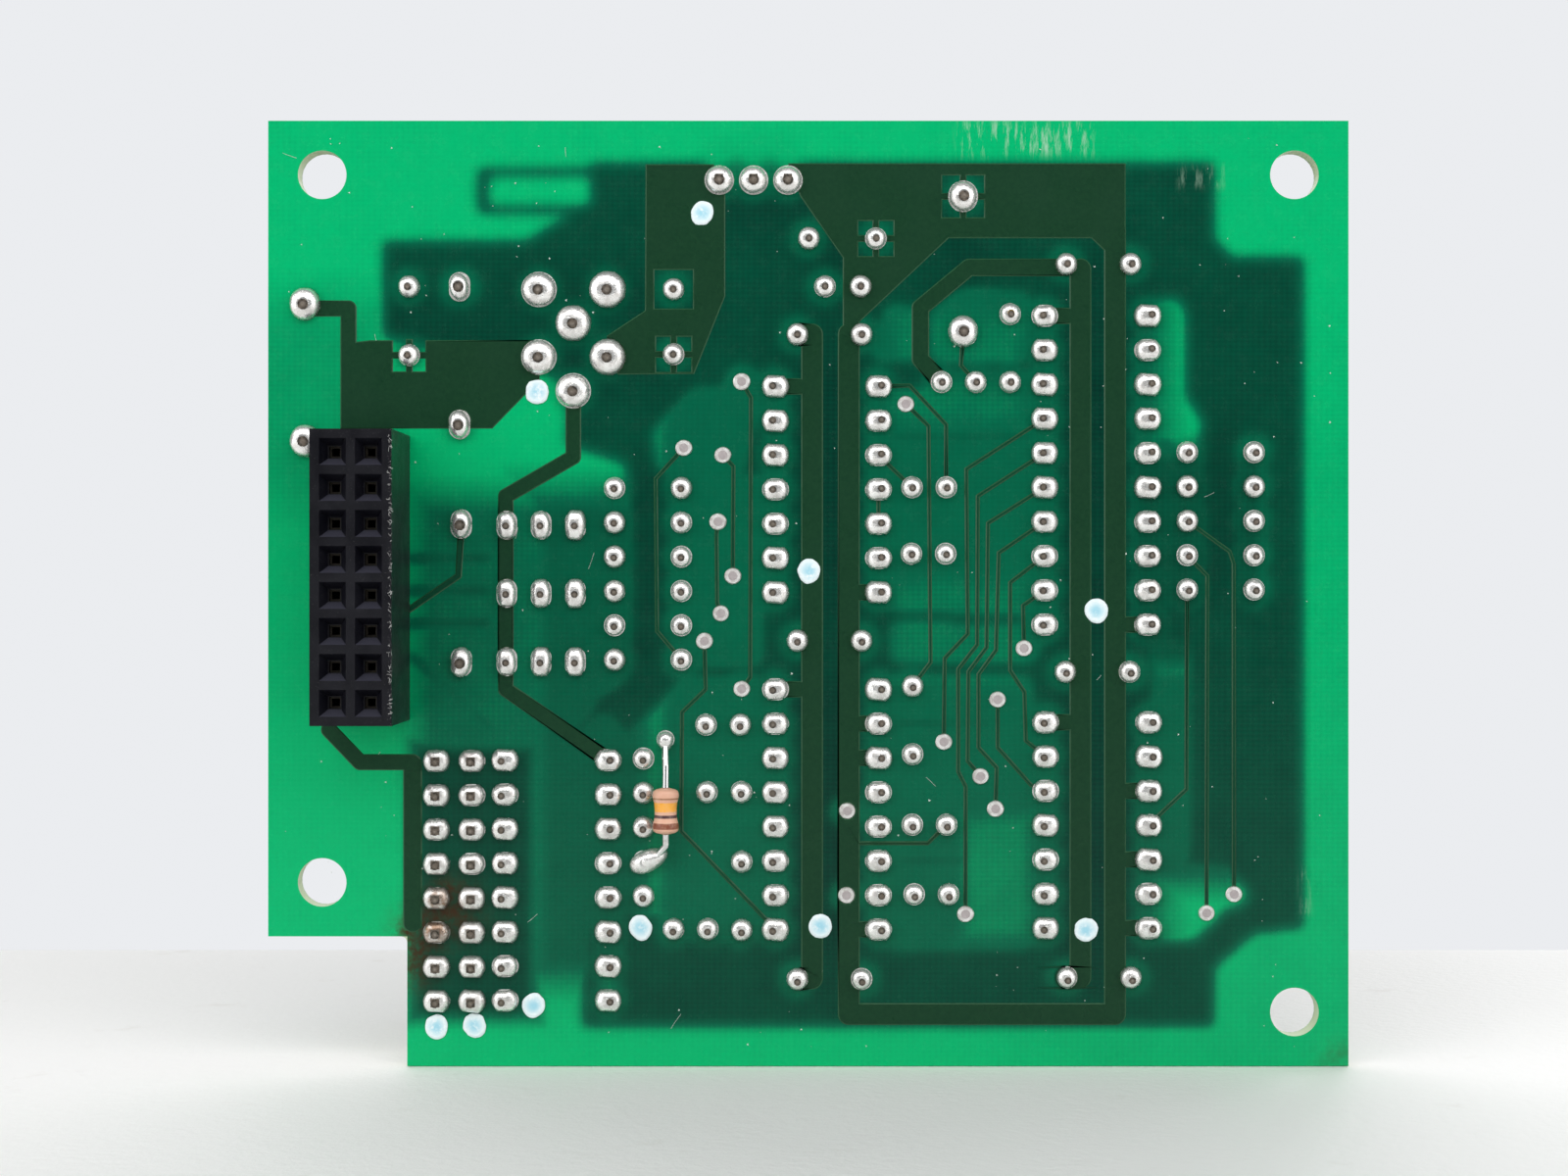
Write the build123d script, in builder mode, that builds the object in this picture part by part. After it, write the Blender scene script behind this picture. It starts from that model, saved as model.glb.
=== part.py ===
from build123d import *
import math
import os

# A servo driver board that stands upright, in millimetres. +X runs right and +Z up, seen from the
# solder side, which faces -Y; the component side faces +Y. The origin is midway between the two
# right-hand fixing holes, on the solder face. Places on the board are (x, z) from its lower left corner.

os.makedirs("parts", exist_ok=True)

# board and copper
board_width = 80.0
board_height = 70.0
board_thick = 1.6
notch_width = 10.3
notch_height = 9.6
notch_radius = 0.5
hole_inset = 4.0
hole_r = 1.8
copper_thick = 0.07
land_ring = 0.4            # copper ring round a drilled hole on the component side
pour_gap = 0.35            # bare ring between that land and the ground copper
rail_width = 1.62
signal_width = 0.3
stub_width = 1.2
spoke_width = 0.5
output_track_width = 1.0

# leads and solder
pitch = 2.54
tip_out = 1.0              # how far a lead stands out of the solder face
wire_r = 0.25
heavy_wire_r = 0.4
wire_bend = 0.45
post_side = 0.64
leg_thick = 0.25
leg_tip = 0.5
leg_wide = 1.4
power_leg = (0.8, 0.5)
drill_play = 0.15          # drill radius beyond half of a lead's widest measure
pad_rim = 0.06             # pad beyond the foot of its solder
joint_rise = 0.8
joint_taper = 18
post_taper = 35
via_r = 0.6
via_drill_r = 0.3
via_rise = 0.15
via_taper = 20

# dual in-line packages: name, x of the left column, z of the top row, rows on each side
column_gap = 7.62
packages = (
    ("ic_1", 37.57, 50.32, 7),
    ("ic_2", 37.57, 27.90, 8),
    ("ic_3", 57.50, 55.55, 10),
    ("ic_4", 57.57, 25.46, 7),
    ("ic_5", 17.56, 22.65, 8),
)
package_width = 6.35
package_high = 3.3
package_overhang = 0.8     # body beyond the last pin's centre, besides half a pitch
package_lift = 0.6
package_draft = 7
package_bite = 0.6         # length of each leg inside the body
package_mark = (0.9, 0.35)  # radius and depth of the notch at the first pin's end

# eight-channel output header, and the sockets that a controller board plugs into
header_x = 12.48
header_gap = 2.62
header_top = 22.6
header_rows = 8
header_base_high = 2.5
header_post_high = 8.6
header_margin = 1.2
header_notch_side = 0.7
socket_x = 7.6
socket_z = 36.15
socket_width = 5.8
socket_length = 21.0
socket_high = 8.5
funnel_side = 1.9
funnel_deep = 0.9
funnel_taper = 28
contact_side = 0.84
contact_wall = 0.14
contact_recess = 0.5
contact_root = 1.0         # solid foot of each contact, inside the housing

# three-way power inlet
inlet_x = 35.95
inlet_z = 65.6
inlet_base = (7.62, 6.0)
inlet_base_high = 3.2
inlet_post_high = 11.0
inlet_wall = (6.2, 1.0, 9.0)
inlet_lip = (0.8, 0.7)      # reach and height of the lip on that wall

# two upright regulators, one behind the other: x and z of the outer legs' row
regulator_spots = ((22.6, 57.5), (22.6, 52.5))
regulator_width = 10.0
regulator_body_high = 9.2
regulator_body_thick = 3.1
regulator_front = 1.9      # from the row of outer legs to the front of the body
regulator_lift = 5.0
regulator_step = 2.5       # the middle leg is set forward by this much
regulator_step_high = 3.0
regulator_shoulder = (1.3, 1.6)
tab_thick = 1.3
tab_high = 6.4
tab_hole_r = 1.8
tab_hole_drop = 2.9
regulator_chamfer = 0.6

# three multi-turn trimmers, side by side
trimmer_x = 20.22
trimmer_rows = (40.05, 35.0, 29.95)
trimmer_width = 4.83
trimmer_high = 10.0
trimmer_wall = 0.5
trimmer_floor = 0.6
trimmer_roof = 1.2
trimmer_end = 4.765        # middle terminal to the right end of the housing
screw_side = 1.965         # screw axis to the left end of the housing
screw_r = 1.15
screw_play = 0.05
screw_out = 1.1
screw_slot = (0.55, 0.6)
flange_r = 1.35
flange_thick = 0.4
flange_play = 0.05
worm_r = 0.8
worm_end_gap = 0.5
wheel_r = 2.9
wheel_thick = 1.4
worm_gap = 0.12
hub_r = 1.4
hub_gap = 0.15
wheel_pin_r = 0.6
wheel_play = 0.03
wheel_side_gap = 0.345     # rim of the wheel to the housing's end wall
element_thick = 0.5
element_margin = (0.2, 0.15)    # element beyond the rim of the wheel, along x and upwards
terminal_inside = 0.3

# two-lead parts, as the (x, z) of their two holes
bypass_pitch = 4.76
bypass_capacitors = [
    ((x - bypass_pitch / 2, z), (x + bypass_pitch / 2, z))
    for x, z in ((41.57, 54.17), (41.57, 31.5), (41.57, 6.46), (61.48, 59.38), (61.4, 29.2), (61.5, 6.57))
] + [((47.72, 28.15), (47.72, 23.1)), ((35.07, 15.15), (35.07, 10.1))]
small_capacitors = [
    ((x - pitch / 2, z), (x + pitch / 2, z))
    for x, z in (
        (33.7, 25.28), (33.77, 20.3), (31.29, 10.16), (48.95, 42.86),
        (48.9, 37.94), (48.97, 17.88), (49.11, 12.73),
    )
]
film_capacitors = [
    ((10.45, 57.7), (10.45, 52.64)), ((30.03, 57.52), (30.03, 52.7)), ((40.05, 61.28), (45.0, 61.28)),
]
can_spots = ((41.23, 57.73), (43.87, 57.73))
small_resistors = [((25.66, 42.8 - pitch * i), (30.6, 42.8 - pitch * i)) for i in range(6)] + [
    ((68.05, 45.45 - pitch * i), (73.0, 45.45 - pitch * i)) for i in range(5)
]
glass_diode = ((14.31, 40.13), (14.31, 29.92))
plastic_diode = ((14.18, 57.7), (14.18, 47.5))
power_diodes = [((2.75, 56.42), (2.75, 46.3)), ((51.46, 64.4), (51.46, 54.4))]

# bodies of those parts: (length between the leads' sides, thickness, height) or (length, radius)
bypass_body = (5.3, 2.3, 4.4)
small_body = (3.6, 2.2, 3.4)
film_body = (7.2, 2.3, 6.5)
can_body = (2.25, 10.5)
capacitor_lift = 0.8
can_lift = 0.4
can_edge_r = 0.4
corner_share = 0.3         # corner radius of a moulded capacitor, as a share of its thickness
resistor_body = (3.4, 0.85, 0.98)   # length, radius at the waist, radius at the ends
resistor_cap = 0.82        # length of each thicker end
glass_body = (3.9, 0.95)
plastic_body = (5.2, 1.35)
power_body = (7.4, 1.8)
lying_gap = 0.3            # between a lying body and the board's copper

# in-line and single parts
network_x = 27.8
network_top = 22.78
network_pins = 5
network_body = (12.9, 2.3, 4.8)
network_corner_r = 0.6
transistor_spot = (52.4, 50.65)
transistor_body = (2.35, 4.6, 1.3)   # radius, height, centre to the flat
transistor_lift = 3.0
transistor_leg_bends = (2.4, 1.1)   # heights where an outer leg splays and straightens
transistor_leg_bend_r = 0.3
test_pin_spot = (54.94, 55.68)
test_pin_high = 6.5
test_pin_r = 0.45
test_collar = (0.85, 0.8)
test_pin_edge_r = 0.2

# resistor added across the solder side
patch_x = 29.5
patch_z = 19.0
patch_high = 1.35          # its axis above the solder face
patch_dab = (29.43, 24.2)
patch_dab_r = 0.6
patch_blob_width = 1.75
patch_blob_long = 0.9      # between the centres of its two round ends
patch_blob_turn = 25
patch_blob_rise = 1.15
patch_blob_taper = 20
patch_blob_off = (0.5, 0.2)
patch_dab_rise = 0.75
patch_dab_taper = 12
patch_bend_r = 0.3
# its leads, as x, z from the end named and height above the solder face
patch_upper_run = ((0.0, 1.6, 1.05), (0.0, -0.5, 0.45), (0.0, 0.1, 0.4))
patch_lower_run = ((0.0, -0.9, 1.2), (1.0, 0.45, 0.75), (0.5, 0.05, 0.7))

vias = (
    (30.78, 45.77), (33.67, 45.25), (33.31, 40.31), (34.41, 36.29), (33.53, 33.52), (32.31, 31.47),
    (35.06, 50.68), (35.07, 27.93), (47.22, 49.02), (50.03, 24.01), (51.64, 11.26), (52.76, 21.46),
    (53.86, 19.05), (54.02, 27.14), (55.97, 30.94), (69.49, 11.34), (71.52, 12.73),
    (42.89, 18.9), (42.83, 12.65),
)
paint_dots = (
    (32.15, 63.16), (19.91, 49.92), (40.05, 36.65), (61.31, 33.72), (27.58, 10.24),
    (40.87, 10.36), (60.56, 10.12), (19.64, 4.49), (12.48, 2.93), (15.27, 3.01),
)
paint_dot_size = (0.82, 0.92)
paint_high = 0.12

solder_face = Plane(
    origin=(hole_inset - board_width, 0, -board_height / 2), x_dir=(1, 0, 0), z_dir=(0, -1, 0)
)


def level(height):
    # the plane that high above the component face; a negative extrusion goes away from the board
    return solder_face.offset(-(board_thick + height))


def at(x, z, height=0.0):
    # a place in the part's own frame, that high above the component face
    return Vector(x - board_width + hole_inset, board_thick + height, z - board_height / 2)


def keep(piece, name):
    piece.part.label = name
    export_step(piece.part, f"parts/{name}.step")
    print(name, len(piece.part.solids()), round(piece.part.volume, 2))


def rows(x, top, count):
    return [(x, top - pitch * i) for i in range(count)]


def middle(pair):
    (xa, za), (xb, zb) = pair
    return ((xa + xb) / 2, (za + zb) / 2)


def pair_turn(pair):
    (xa, za), (xb, zb) = pair
    return math.degrees(math.atan2(zb - za, xb - xa))


def pair_span(pair):
    (xa, za), (xb, zb) = pair
    return math.hypot(xb - xa, zb - za)


def package_pads(left, top, count):
    return rows(left, top, count) + rows(left + column_gap, top, count)


def leg_of(name, side, row):
    # centre of one pad of a package; rows count from 1 at the top
    left, top = next((x, z) for label, x, z, count in packages if label == name)
    return (left + (column_gap if side == "right" else 0), top - pitch * (row - 1))


# ---- everything that goes through the board ----

package_spots = [spot for name, x, z, count in packages for spot in package_pads(x, z, count)]
header_spots = rows(header_x, header_top, header_rows)
header_spots += rows(header_x + header_gap, header_top, header_rows)
socket_top = socket_z + pitch * (header_rows - 1) / 2
socket_spots = rows(socket_x - pitch / 2, socket_top, header_rows)
socket_spots += rows(socket_x + pitch / 2, socket_top, header_rows)
inlet_spots = [(inlet_x + pitch * i, inlet_z) for i in (-1, 0, 1)]
regulator_leads = [
    (x + pitch * i, z - (0 if i else regulator_step)) for x, z in regulator_spots for i in (-1, 0, 1)
]
trimmer_spots = [(trimmer_x + pitch * i, z) for z in trimmer_rows for i in (-1, 0, 1)]
network_spots = rows(network_x, network_top, network_pins)
patched_spot = network_spots[3]
transistor_leads = [(transistor_spot[0] + pitch * i, transistor_spot[1]) for i in (-1, 0, 1)]


def ends(pairs):
    return [spot for pair in pairs for spot in pair]


wire_spots = ends(bypass_capacitors + small_capacitors + film_capacitors + small_resistors)
wire_spots += list(can_spots) + network_spots + transistor_leads + [test_pin_spot]
diode_spots = list(glass_diode + plastic_diode)
power_diode_spots = ends(power_diodes)

# name: places, pad foot (width, height), half of the lead's widest measure
post_half = post_side / math.sqrt(2)
kinds = {
    "package": (package_spots, (1.86, 1.5), math.hypot(leg_thick, leg_tip) / 2),
    "header": (header_spots, (1.86, 1.5), post_half),
    "trimmer": (trimmer_spots, (1.4, 2.0), wire_r),
    "wire": (wire_spots, (1.46, 1.5), wire_r),
    "diode": (diode_spots, (1.45, 2.05), heavy_wire_r),
    "power_diode": (power_diode_spots, (2.05, 2.2), heavy_wire_r),
    "inlet": (inlet_spots, (2.05, 2.05), post_half),
    "regulator": (regulator_leads, (2.5, 2.5), math.hypot(*power_leg) / 2),
}
drills = {name: half + drill_play for name, (places, foot, half) in kinds.items()}
socket_drill = post_half + drill_play


def foot_outline(foot, grow=0.0, mode=Mode.ADD):
    # a round or oblong copper pad
    width = foot[0] + 2 * grow
    height = foot[1] + 2 * grow
    RectangleRounded(width, height, min(width, height) / 2 - 0.01, mode=mode)


def stroke(points, width):
    # a track of that width along straight runs, round at its corners and ends
    for (xa, za), (xb, zb) in zip(points, points[1:]):
        with Locations(((xa + xb) / 2, (za + zb) / 2)):
            turn = math.degrees(math.atan2(zb - za, xb - xa))
            SlotCenterToCenter(math.hypot(xb - xa, zb - za), width, rotation=turn)


def patch(points, mode=Mode.ADD):
    # a filled outline
    with BuildLine() as edge:
        Polyline(*points, close=True)
    make_face(edge.edges(), mode=mode)


# ---- laminate, copper, vias ----

fixing_holes = (
    (hole_inset, board_height - hole_inset),
    (board_width - hole_inset, board_height - hole_inset),
    (hole_inset, notch_height + hole_inset),
    (board_width - hole_inset, hole_inset),
)


def make_board():
    with BuildPart() as board:
        with BuildSketch(solder_face) as outline:
            Rectangle(board_width, board_height, align=(Align.MIN, Align.MIN))
            Rectangle(notch_width, notch_height, align=(Align.MIN, Align.MIN), mode=Mode.SUBTRACT)
            inner = outline.vertices().sort_by_distance((notch_width, notch_height))[0]
            fillet(inner, notch_radius)
            with Locations(*fixing_holes):
                Circle(hole_r, mode=Mode.SUBTRACT)
            for name, (places, foot, half) in kinds.items():
                with Locations(*places):
                    Circle(drills[name], mode=Mode.SUBTRACT)
            with Locations(*socket_spots):
                Circle(socket_drill, mode=Mode.SUBTRACT)
            with Locations(*vias):
                Circle(via_drill_r, mode=Mode.SUBTRACT)
        extrude(amount=-board_thick)
    keep(board, "board_laminate")


def make_pads():
    with BuildPart() as pads:
        with BuildSketch(solder_face):
            for name, (places, foot, half) in kinds.items():
                with Locations(*places):
                    foot_outline(foot, pad_rim)
            with Locations(patch_dab):
                Circle(patch_dab_r + pad_rim)
            for name, (places, foot, half) in kinds.items():
                with Locations(*places):
                    Circle(drills[name], mode=Mode.SUBTRACT)
        extrude(amount=copper_thick)
    keep(pads, "solder_side_pads")
    with BuildPart() as lands:
        with BuildSketch(level(0)):
            for name, (places, foot, half) in kinds.items():
                with Locations(*places):
                    Circle(drills[name] + land_ring)
            with Locations(*socket_spots):
                Circle(socket_drill + land_ring)
            for name, (places, foot, half) in kinds.items():
                with Locations(*places):
                    Circle(drills[name], mode=Mode.SUBTRACT)
            with Locations(*socket_spots):
                Circle(socket_drill, mode=Mode.SUBTRACT)
        extrude(amount=-copper_thick)
    keep(lands, "component_side_pads")
    return pads


supply_left = 40.28
ground_left = 43.0
supply_right = 60.15
ground_right = 62.71
ground_foot = 3.85

rails = (
    (rail_width, ((39.26, 54.17), (supply_left, 54.17), (supply_left, 6.5), (39.3, 6.46))),
    (rail_width, ((ground_left, 54.2), (ground_left, ground_foot), (ground_right, ground_foot))),
    (rail_width, ((ground_right, ground_foot), (ground_right, 62.0))),
    (rail_width, ((59.1, 6.57), (supply_right, 6.57), (supply_right, 59.0))),
    (1.3, ((59.1, 59.14), (51.9, 59.14), (48.3, 56.15), (48.3, 52.35), (49.86, 50.65))),
    (1.15, ((22.6, 50.0), (22.6, 45.1), (17.6, 42.2), (17.6, 27.9), (25.18, 22.65))),
    (1.2, ((4.5, 24.9), (6.8, 22.5), (10.6, 22.5))),
    (1.4, ((10.7, 22.4), (10.7, 10.6))),
    (1.2, ((2.75, 56.1), (5.95, 56.1), (5.95, 52.0))),
    (0.5, ((14.31, 40.13), (14.1, 36.3), (10.3, 33.7))),
)
stubs = (
    (leg_of("ic_1", "left", 1), supply_left),
    (leg_of("ic_2", "left", 1), supply_left),
    (leg_of("ic_1", "right", 7), ground_left),
    (leg_of("ic_2", "right", 8), ground_left),
    (leg_of("ic_2", "right", 2), ground_left),
    (leg_of("ic_2", "right", 3), ground_left),
    (leg_of("ic_3", "left", 1), supply_right),
    (leg_of("ic_4", "left", 1), supply_right),
    (leg_of("ic_3", "right", 10), ground_right),
    (leg_of("ic_4", "right", 3), ground_right),
    (leg_of("ic_4", "right", 5), ground_right),
    (leg_of("ic_4", "right", 7), ground_right),
)
signals = (
    (vias[6], (35.75, 49.5), (35.7, 28.8), vias[7]),
    (vias[0], (28.7, 43.5), (28.8, 32.2), (30.6, 30.1)),
    (vias[1], (34.45, 44.4), vias[3]),
    (vias[2], (33.2, 39.4), (33.25, 34.3), vias[4]),
    (vias[5], (32.4, 27.9), (30.65, 26.2), (30.6, 17.4), leg_of("ic_2", "left", 8)),
    (leg_of("ic_1", "right", 1), (47.5, 50.4), (50.2, 47.5), (50.2, 42.86)),
    (vias[8], (48.9, 47.4), (49.05, 29.9), (47.72, 28.15)),
    (leg_of("ic_1", "right", 3), (47.68, 42.86)),
    (leg_of("ic_1", "right", 4), leg_of("ic_1", "right", 5)),
    (leg_of("ic_3", "left", 4), (51.7, 44.2), (51.8, 32.0), (50.1, 30.2), vias[9]),
    (
        leg_of("ic_3", "left", 5), (52.55, 42.2), (52.5, 31.2), (51.1, 29.4), (51.1, 21.8),
        (51.65, 20.7), vias[10],
    ),
    (leg_of("ic_3", "left", 6), (53.3, 40.2), (53.2, 31.0), (51.85, 29.2), (51.8, 22.6), vias[11]),
    (
        leg_of("ic_3", "left", 7), (54.1, 38.0), (53.9, 30.8), (52.6, 29.0), (52.6, 23.6),
        (53.95, 22.1), vias[12],
    ),
    (
        leg_of("ic_3", "left", 8), (54.95, 35.8), (54.95, 29.3), (56.0, 27.7), (56.1, 24.1),
        leg_of("ic_4", "left", 2),
    ),
    (leg_of("ic_3", "left", 9), (55.9, 34.1), vias[14]),
    (vias[13], (54.02, 23.6), (56.5, 20.8), leg_of("ic_4", "left", 3)),
    ((50.24, 17.88), (48.85, 16.5), (43.9, 16.5)),
    ((51.46, 54.4), (51.3, 51.9), (52.4, 50.65)),
    (leg_of("ic_4", "right", 4), (68.0, 20.5), (68.05, 35.3)),
    ((68.05, 40.37), (71.2, 38.1), (71.5, 37.2), vias[16]),
    ((68.05, 37.83), (69.55, 36.3), vias[15]),
)
ground_pour = (
    (38.5, 66.85), (63.5, 66.85), (63.5, 60.0), (61.9, 60.0), (61.9, 60.4), (60.95, 61.3), (50.4, 61.3),
    (43.8, 55.1), (43.8, 53.5), (42.2, 53.5), (42.2, 54.3), (42.55, 54.8), (42.55, 59.85), (39.4, 64.4),
)
inlet_pour = (
    (27.95, 66.78), (33.0, 66.78), (33.85, 65.0), (33.85, 57.0), (31.55, 51.25), (25.9, 51.2),
    (25.1, 52.4), (25.1, 54.1), (27.9, 55.95),
)
motor_pour = ((5.35, 47.2), (5.35, 53.5), (7.6, 53.75), (20.1, 53.75), (20.1, 50.8), (16.6, 47.2))
# squares cleared round a pad in a pour, with or without spokes across
reliefs = (
    ((51.46, 64.4), 3.1, True), ((45.0, 61.28), 2.6, True), ((30.03, 52.7), 2.6, True),
    ((10.45, 52.64), 2.4, True), ((30.03, 57.52), 2.85, False),
)


def make_solder_side_tracks():
    with BuildPart() as tracks:
        with BuildSketch(solder_face):
            for outline in (ground_pour, inlet_pour, motor_pour):
                patch(outline)
            for place, side, joined in reliefs:
                with Locations(place):
                    Rectangle(side, side, mode=Mode.SUBTRACT)
                    if joined:
                        Rectangle(side, spoke_width)
                        Rectangle(spoke_width, side)
            for width, points in rails:
                stroke(points, width)
            for (x, z), rail_x in stubs:
                stroke(((x, z), (rail_x, z)), stub_width)
            for points in signals:
                stroke(points, signal_width)
            for name, (places, foot, half) in kinds.items():
                with Locations(*places):
                    foot_outline(foot, pad_rim, mode=Mode.SUBTRACT)
            with Locations(*vias):
                Circle(via_r, mode=Mode.SUBTRACT)
            with Locations(patch_dab):
                Circle(patch_dab_r + pad_rim, mode=Mode.SUBTRACT)
        extrude(amount=copper_thick)
    keep(tracks, "solder_side_tracks")
    return tracks


# the component side's ground copper, and the openings left in it for the tracks between packages
ground_plane = (
    (8.6, 61.0), (18.9, 61.0), (24.0, 64.0), (24.0, 66.8), (70.2, 66.8), (70.2, 61.2), (71.6, 59.8),
    (76.7, 59.8), (76.7, 10.1), (73.2, 9.9), (70.1, 7.3), (70.1, 3.0), (23.3, 3.0), (23.3, 10.5),
    (26.3, 11.5), (26.3, 24.4), (23.5, 27.0), (26.5, 29.0), (26.5, 44.5), (22.2, 46.0), (22.2, 50.2),
    (20.0, 51.5), (8.6, 53.9),
)
plane_windows = (
    ((29.0, 44.2), (35.0, 44.2), (36.2, 50.2), (31.5, 49.8), (28.6, 47.0)),
    ((31.6, 29.8), (36.3, 29.8), (36.3, 43.5), (31.6, 43.5)),
    ((27.0, 11.3), (36.2, 11.3), (36.2, 28.5), (31.0, 28.5), (27.0, 24.5)),
    ((45.0, 52.4), (48.4, 52.4), (48.4, 55.8), (46.0, 56.2)),
    ((49.4, 52.2), (55.8, 52.2), (56.2, 57.0), (51.5, 57.4), (49.4, 55.8)),
    ((46.3, 30.0), (56.4, 30.0), (56.4, 50.0), (46.3, 50.0)),
    ((46.3, 8.8), (56.4, 8.8), (56.4, 28.8), (46.3, 28.8)),
    ((66.1, 46.4), (68.8, 46.4), (69.3, 47.4), (68.0, 49.5), (68.0, 55.5), (67.4, 56.8), (66.1, 56.8)),
    ((65.9, 26.5), (68.0, 26.5), (68.0, 31.0), (65.9, 31.0)),
    ((66.2, 15.2), (67.9, 15.2), (67.9, 26.3), (66.2, 26.3)),
    ((66.3, 9.3), (68.6, 9.3), (71.2, 12.0), (71.2, 14.6), (66.3, 14.6)),
)
# tracks across those openings, and the ones left of the ground copper
crossing_tracks = (
    (1.0, ((45.2, 50.9), (57.5, 51.2))),
    (1.0, ((45.2, 46.6), (57.5, 46.6))),
    (0.8, ((45.2, 40.2), (57.5, 40.2))),
    (0.8, ((45.2, 37.7), (57.5, 37.7))),
    (1.2, ((45.2, 33.4), (55.9, 33.0))),
    (0.8, ((45.2, 25.4), (54.0, 25.4))),
    (0.8, ((45.2, 22.7), (57.5, 23.0))),
    (0.9, ((45.2, 15.2), (51.5, 15.2))),
    (0.8, ((45.2, 12.7), (52.0, 12.2))),
    (0.8, ((31.0, 35.1), (37.5, 35.1))),
    (0.8, ((31.0, 37.7), (37.5, 37.7))),
    (0.8, ((31.0, 40.2), (37.5, 40.2))),
    (0.6, ((15.9, 63.4), (15.9, 66.2), (24.2, 66.2))),
    (0.6, ((15.9, 63.4), (24.2, 63.4))),
    (1.0, ((10.5, 37.6), (16.4, 37.6))),
    (1.0, ((10.5, 35.2), (16.4, 35.2))),
    (1.0, ((10.5, 32.8), (16.4, 32.8))),
    (0.8, ((10.5, 30.5), (17.0, 24.6))),
    (1.2, ((22.9, 24.9), (27.0, 28.6))),
)


def make_component_side_tracks():
    with BuildPart() as tracks:
        with BuildSketch(level(0)):
            patch(ground_plane)
            for outline in plane_windows:
                patch(outline, mode=Mode.SUBTRACT)
            for width, points in crossing_tracks:
                stroke(points, width)
            for post, leg in zip(header_spots[header_rows:], package_pads(*packages[4][1:])):
                stroke((post, leg), output_track_width)
            for name, (places, foot, half) in kinds.items():
                with Locations(*places):
                    Circle(drills[name] + land_ring + pour_gap, mode=Mode.SUBTRACT)
            with Locations(*socket_spots):
                Circle(socket_drill + land_ring + pour_gap, mode=Mode.SUBTRACT)
            with Locations(*vias):
                Circle(via_r + pour_gap, mode=Mode.SUBTRACT)
        extrude(amount=-copper_thick)
    keep(tracks, "component_side_tracks")


def make_vias():
    with BuildPart() as plated:
        with BuildSketch(solder_face.offset(-board_thick)):
            with Locations(*vias):
                Circle(via_drill_r)
        extrude(amount=board_thick)
        with BuildSketch(solder_face):
            with Locations(*vias):
                Circle(via_r)
        extrude(amount=via_rise, taper=via_taper)
        with BuildSketch(level(0)):
            with Locations(*vias):
                Circle(via_r)
        extrude(amount=-copper_thick)
    keep(plated, "plated_vias")


# ---- solder ----

def lead_section(name):
    if name == "package":
        Rectangle(leg_thick, leg_tip)
    elif name in ("header", "inlet", "socket"):
        Rectangle(post_side, post_side)
    elif name == "regulator":
        Rectangle(*power_leg)
    elif name in ("diode", "power_diode"):
        Circle(heavy_wire_r)
    else:
        Circle(wire_r)


def make_joints(label, names):
    # a cone of solder on each pad, with the lead's own section left through it
    with BuildPart() as joints:
        for name in names:
            places, foot, half = kinds[name]
            soldered = [spot for spot in places if spot != patched_spot]
            with BuildSketch(solder_face.offset(copper_thick)):
                with Locations(*soldered):
                    foot_outline(foot)
            extrude(amount=joint_rise, taper=joint_taper)
            with BuildSketch(solder_face.offset(copper_thick)):
                with Locations(*soldered):
                    lead_section(name)
            extrude(amount=joint_rise, mode=Mode.SUBTRACT)
    keep(joints, label)


def make_socket_joints():
    with BuildPart() as joints:
        with BuildSketch(level(copper_thick)):
            with Locations(*socket_spots):
                Circle(socket_drill + land_ring / 2)
        extrude(amount=-joint_rise, taper=joint_taper)
        with BuildSketch(level(copper_thick)):
            with Locations(*socket_spots):
                lead_section("socket")
        extrude(amount=-joint_rise, mode=Mode.SUBTRACT)
    keep(joints, "socket_joints")


def make_paint_dots(tracks, pads):
    with BuildPart() as dots:
        with BuildSketch(solder_face):
            with Locations(*paint_dots):
                Ellipse(*paint_dot_size)
        extrude(amount=paint_high)
        add(tracks.part, mode=Mode.SUBTRACT)
        add(pads.part, mode=Mode.SUBTRACT)
    keep(dots, "paint_dots")


# ---- dual in-line packages ----

def make_packages():
    parting = package_lift + package_high / 2
    with BuildPart() as legs:
        with BuildSketch(level(parting - leg_thick / 2)):
            for name, left, top, count in packages:
                for side in (-1, 1):
                    centre = left + column_gap / 2
                    reach = column_gap / 2 + leg_thick / 2
                    inside = package_width / 2 - package_bite
                    width = reach - inside
                    spots = rows(centre + side * (inside + width / 2), top, count)
                    with Locations(*spots):
                        Rectangle(width, leg_wide)
        extrude(amount=-leg_thick)
        with BuildSketch(level(parting + leg_thick / 2)):
            with Locations(*package_spots):
                Rectangle(leg_thick, leg_wide)
        extrude(amount=parting + leg_thick / 2 - package_lift)
        with BuildSketch(level(package_lift)):
            with Locations(*package_spots):
                Rectangle(leg_thick, leg_tip)
        extrude(amount=package_lift + board_thick + tip_out)
    keep(legs, "package_legs")
    for name, left, top, count in packages:
        length = pitch * count + 2 * package_overhang
        centre = (left + column_gap / 2, top - pitch * (count - 1) / 2)
        with BuildPart() as body:
            with BuildSketch(level(parting)):
                with Locations(centre):
                    Rectangle(package_width, length)
            extrude(amount=-package_high / 2, taper=package_draft)
            with BuildSketch(level(parting)):
                with Locations(centre):
                    Rectangle(package_width, length)
            extrude(amount=package_high / 2, taper=package_draft)
            mark_r, mark_deep = package_mark
            with BuildSketch(level(package_lift + package_high)):
                with Locations((centre[0], centre[1] + length / 2)):
                    Circle(mark_r)
            extrude(amount=mark_deep, mode=Mode.SUBTRACT)
            add(legs.part, mode=Mode.SUBTRACT)
        keep(body, f"{name}_body")


# ---- connectors ----

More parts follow.
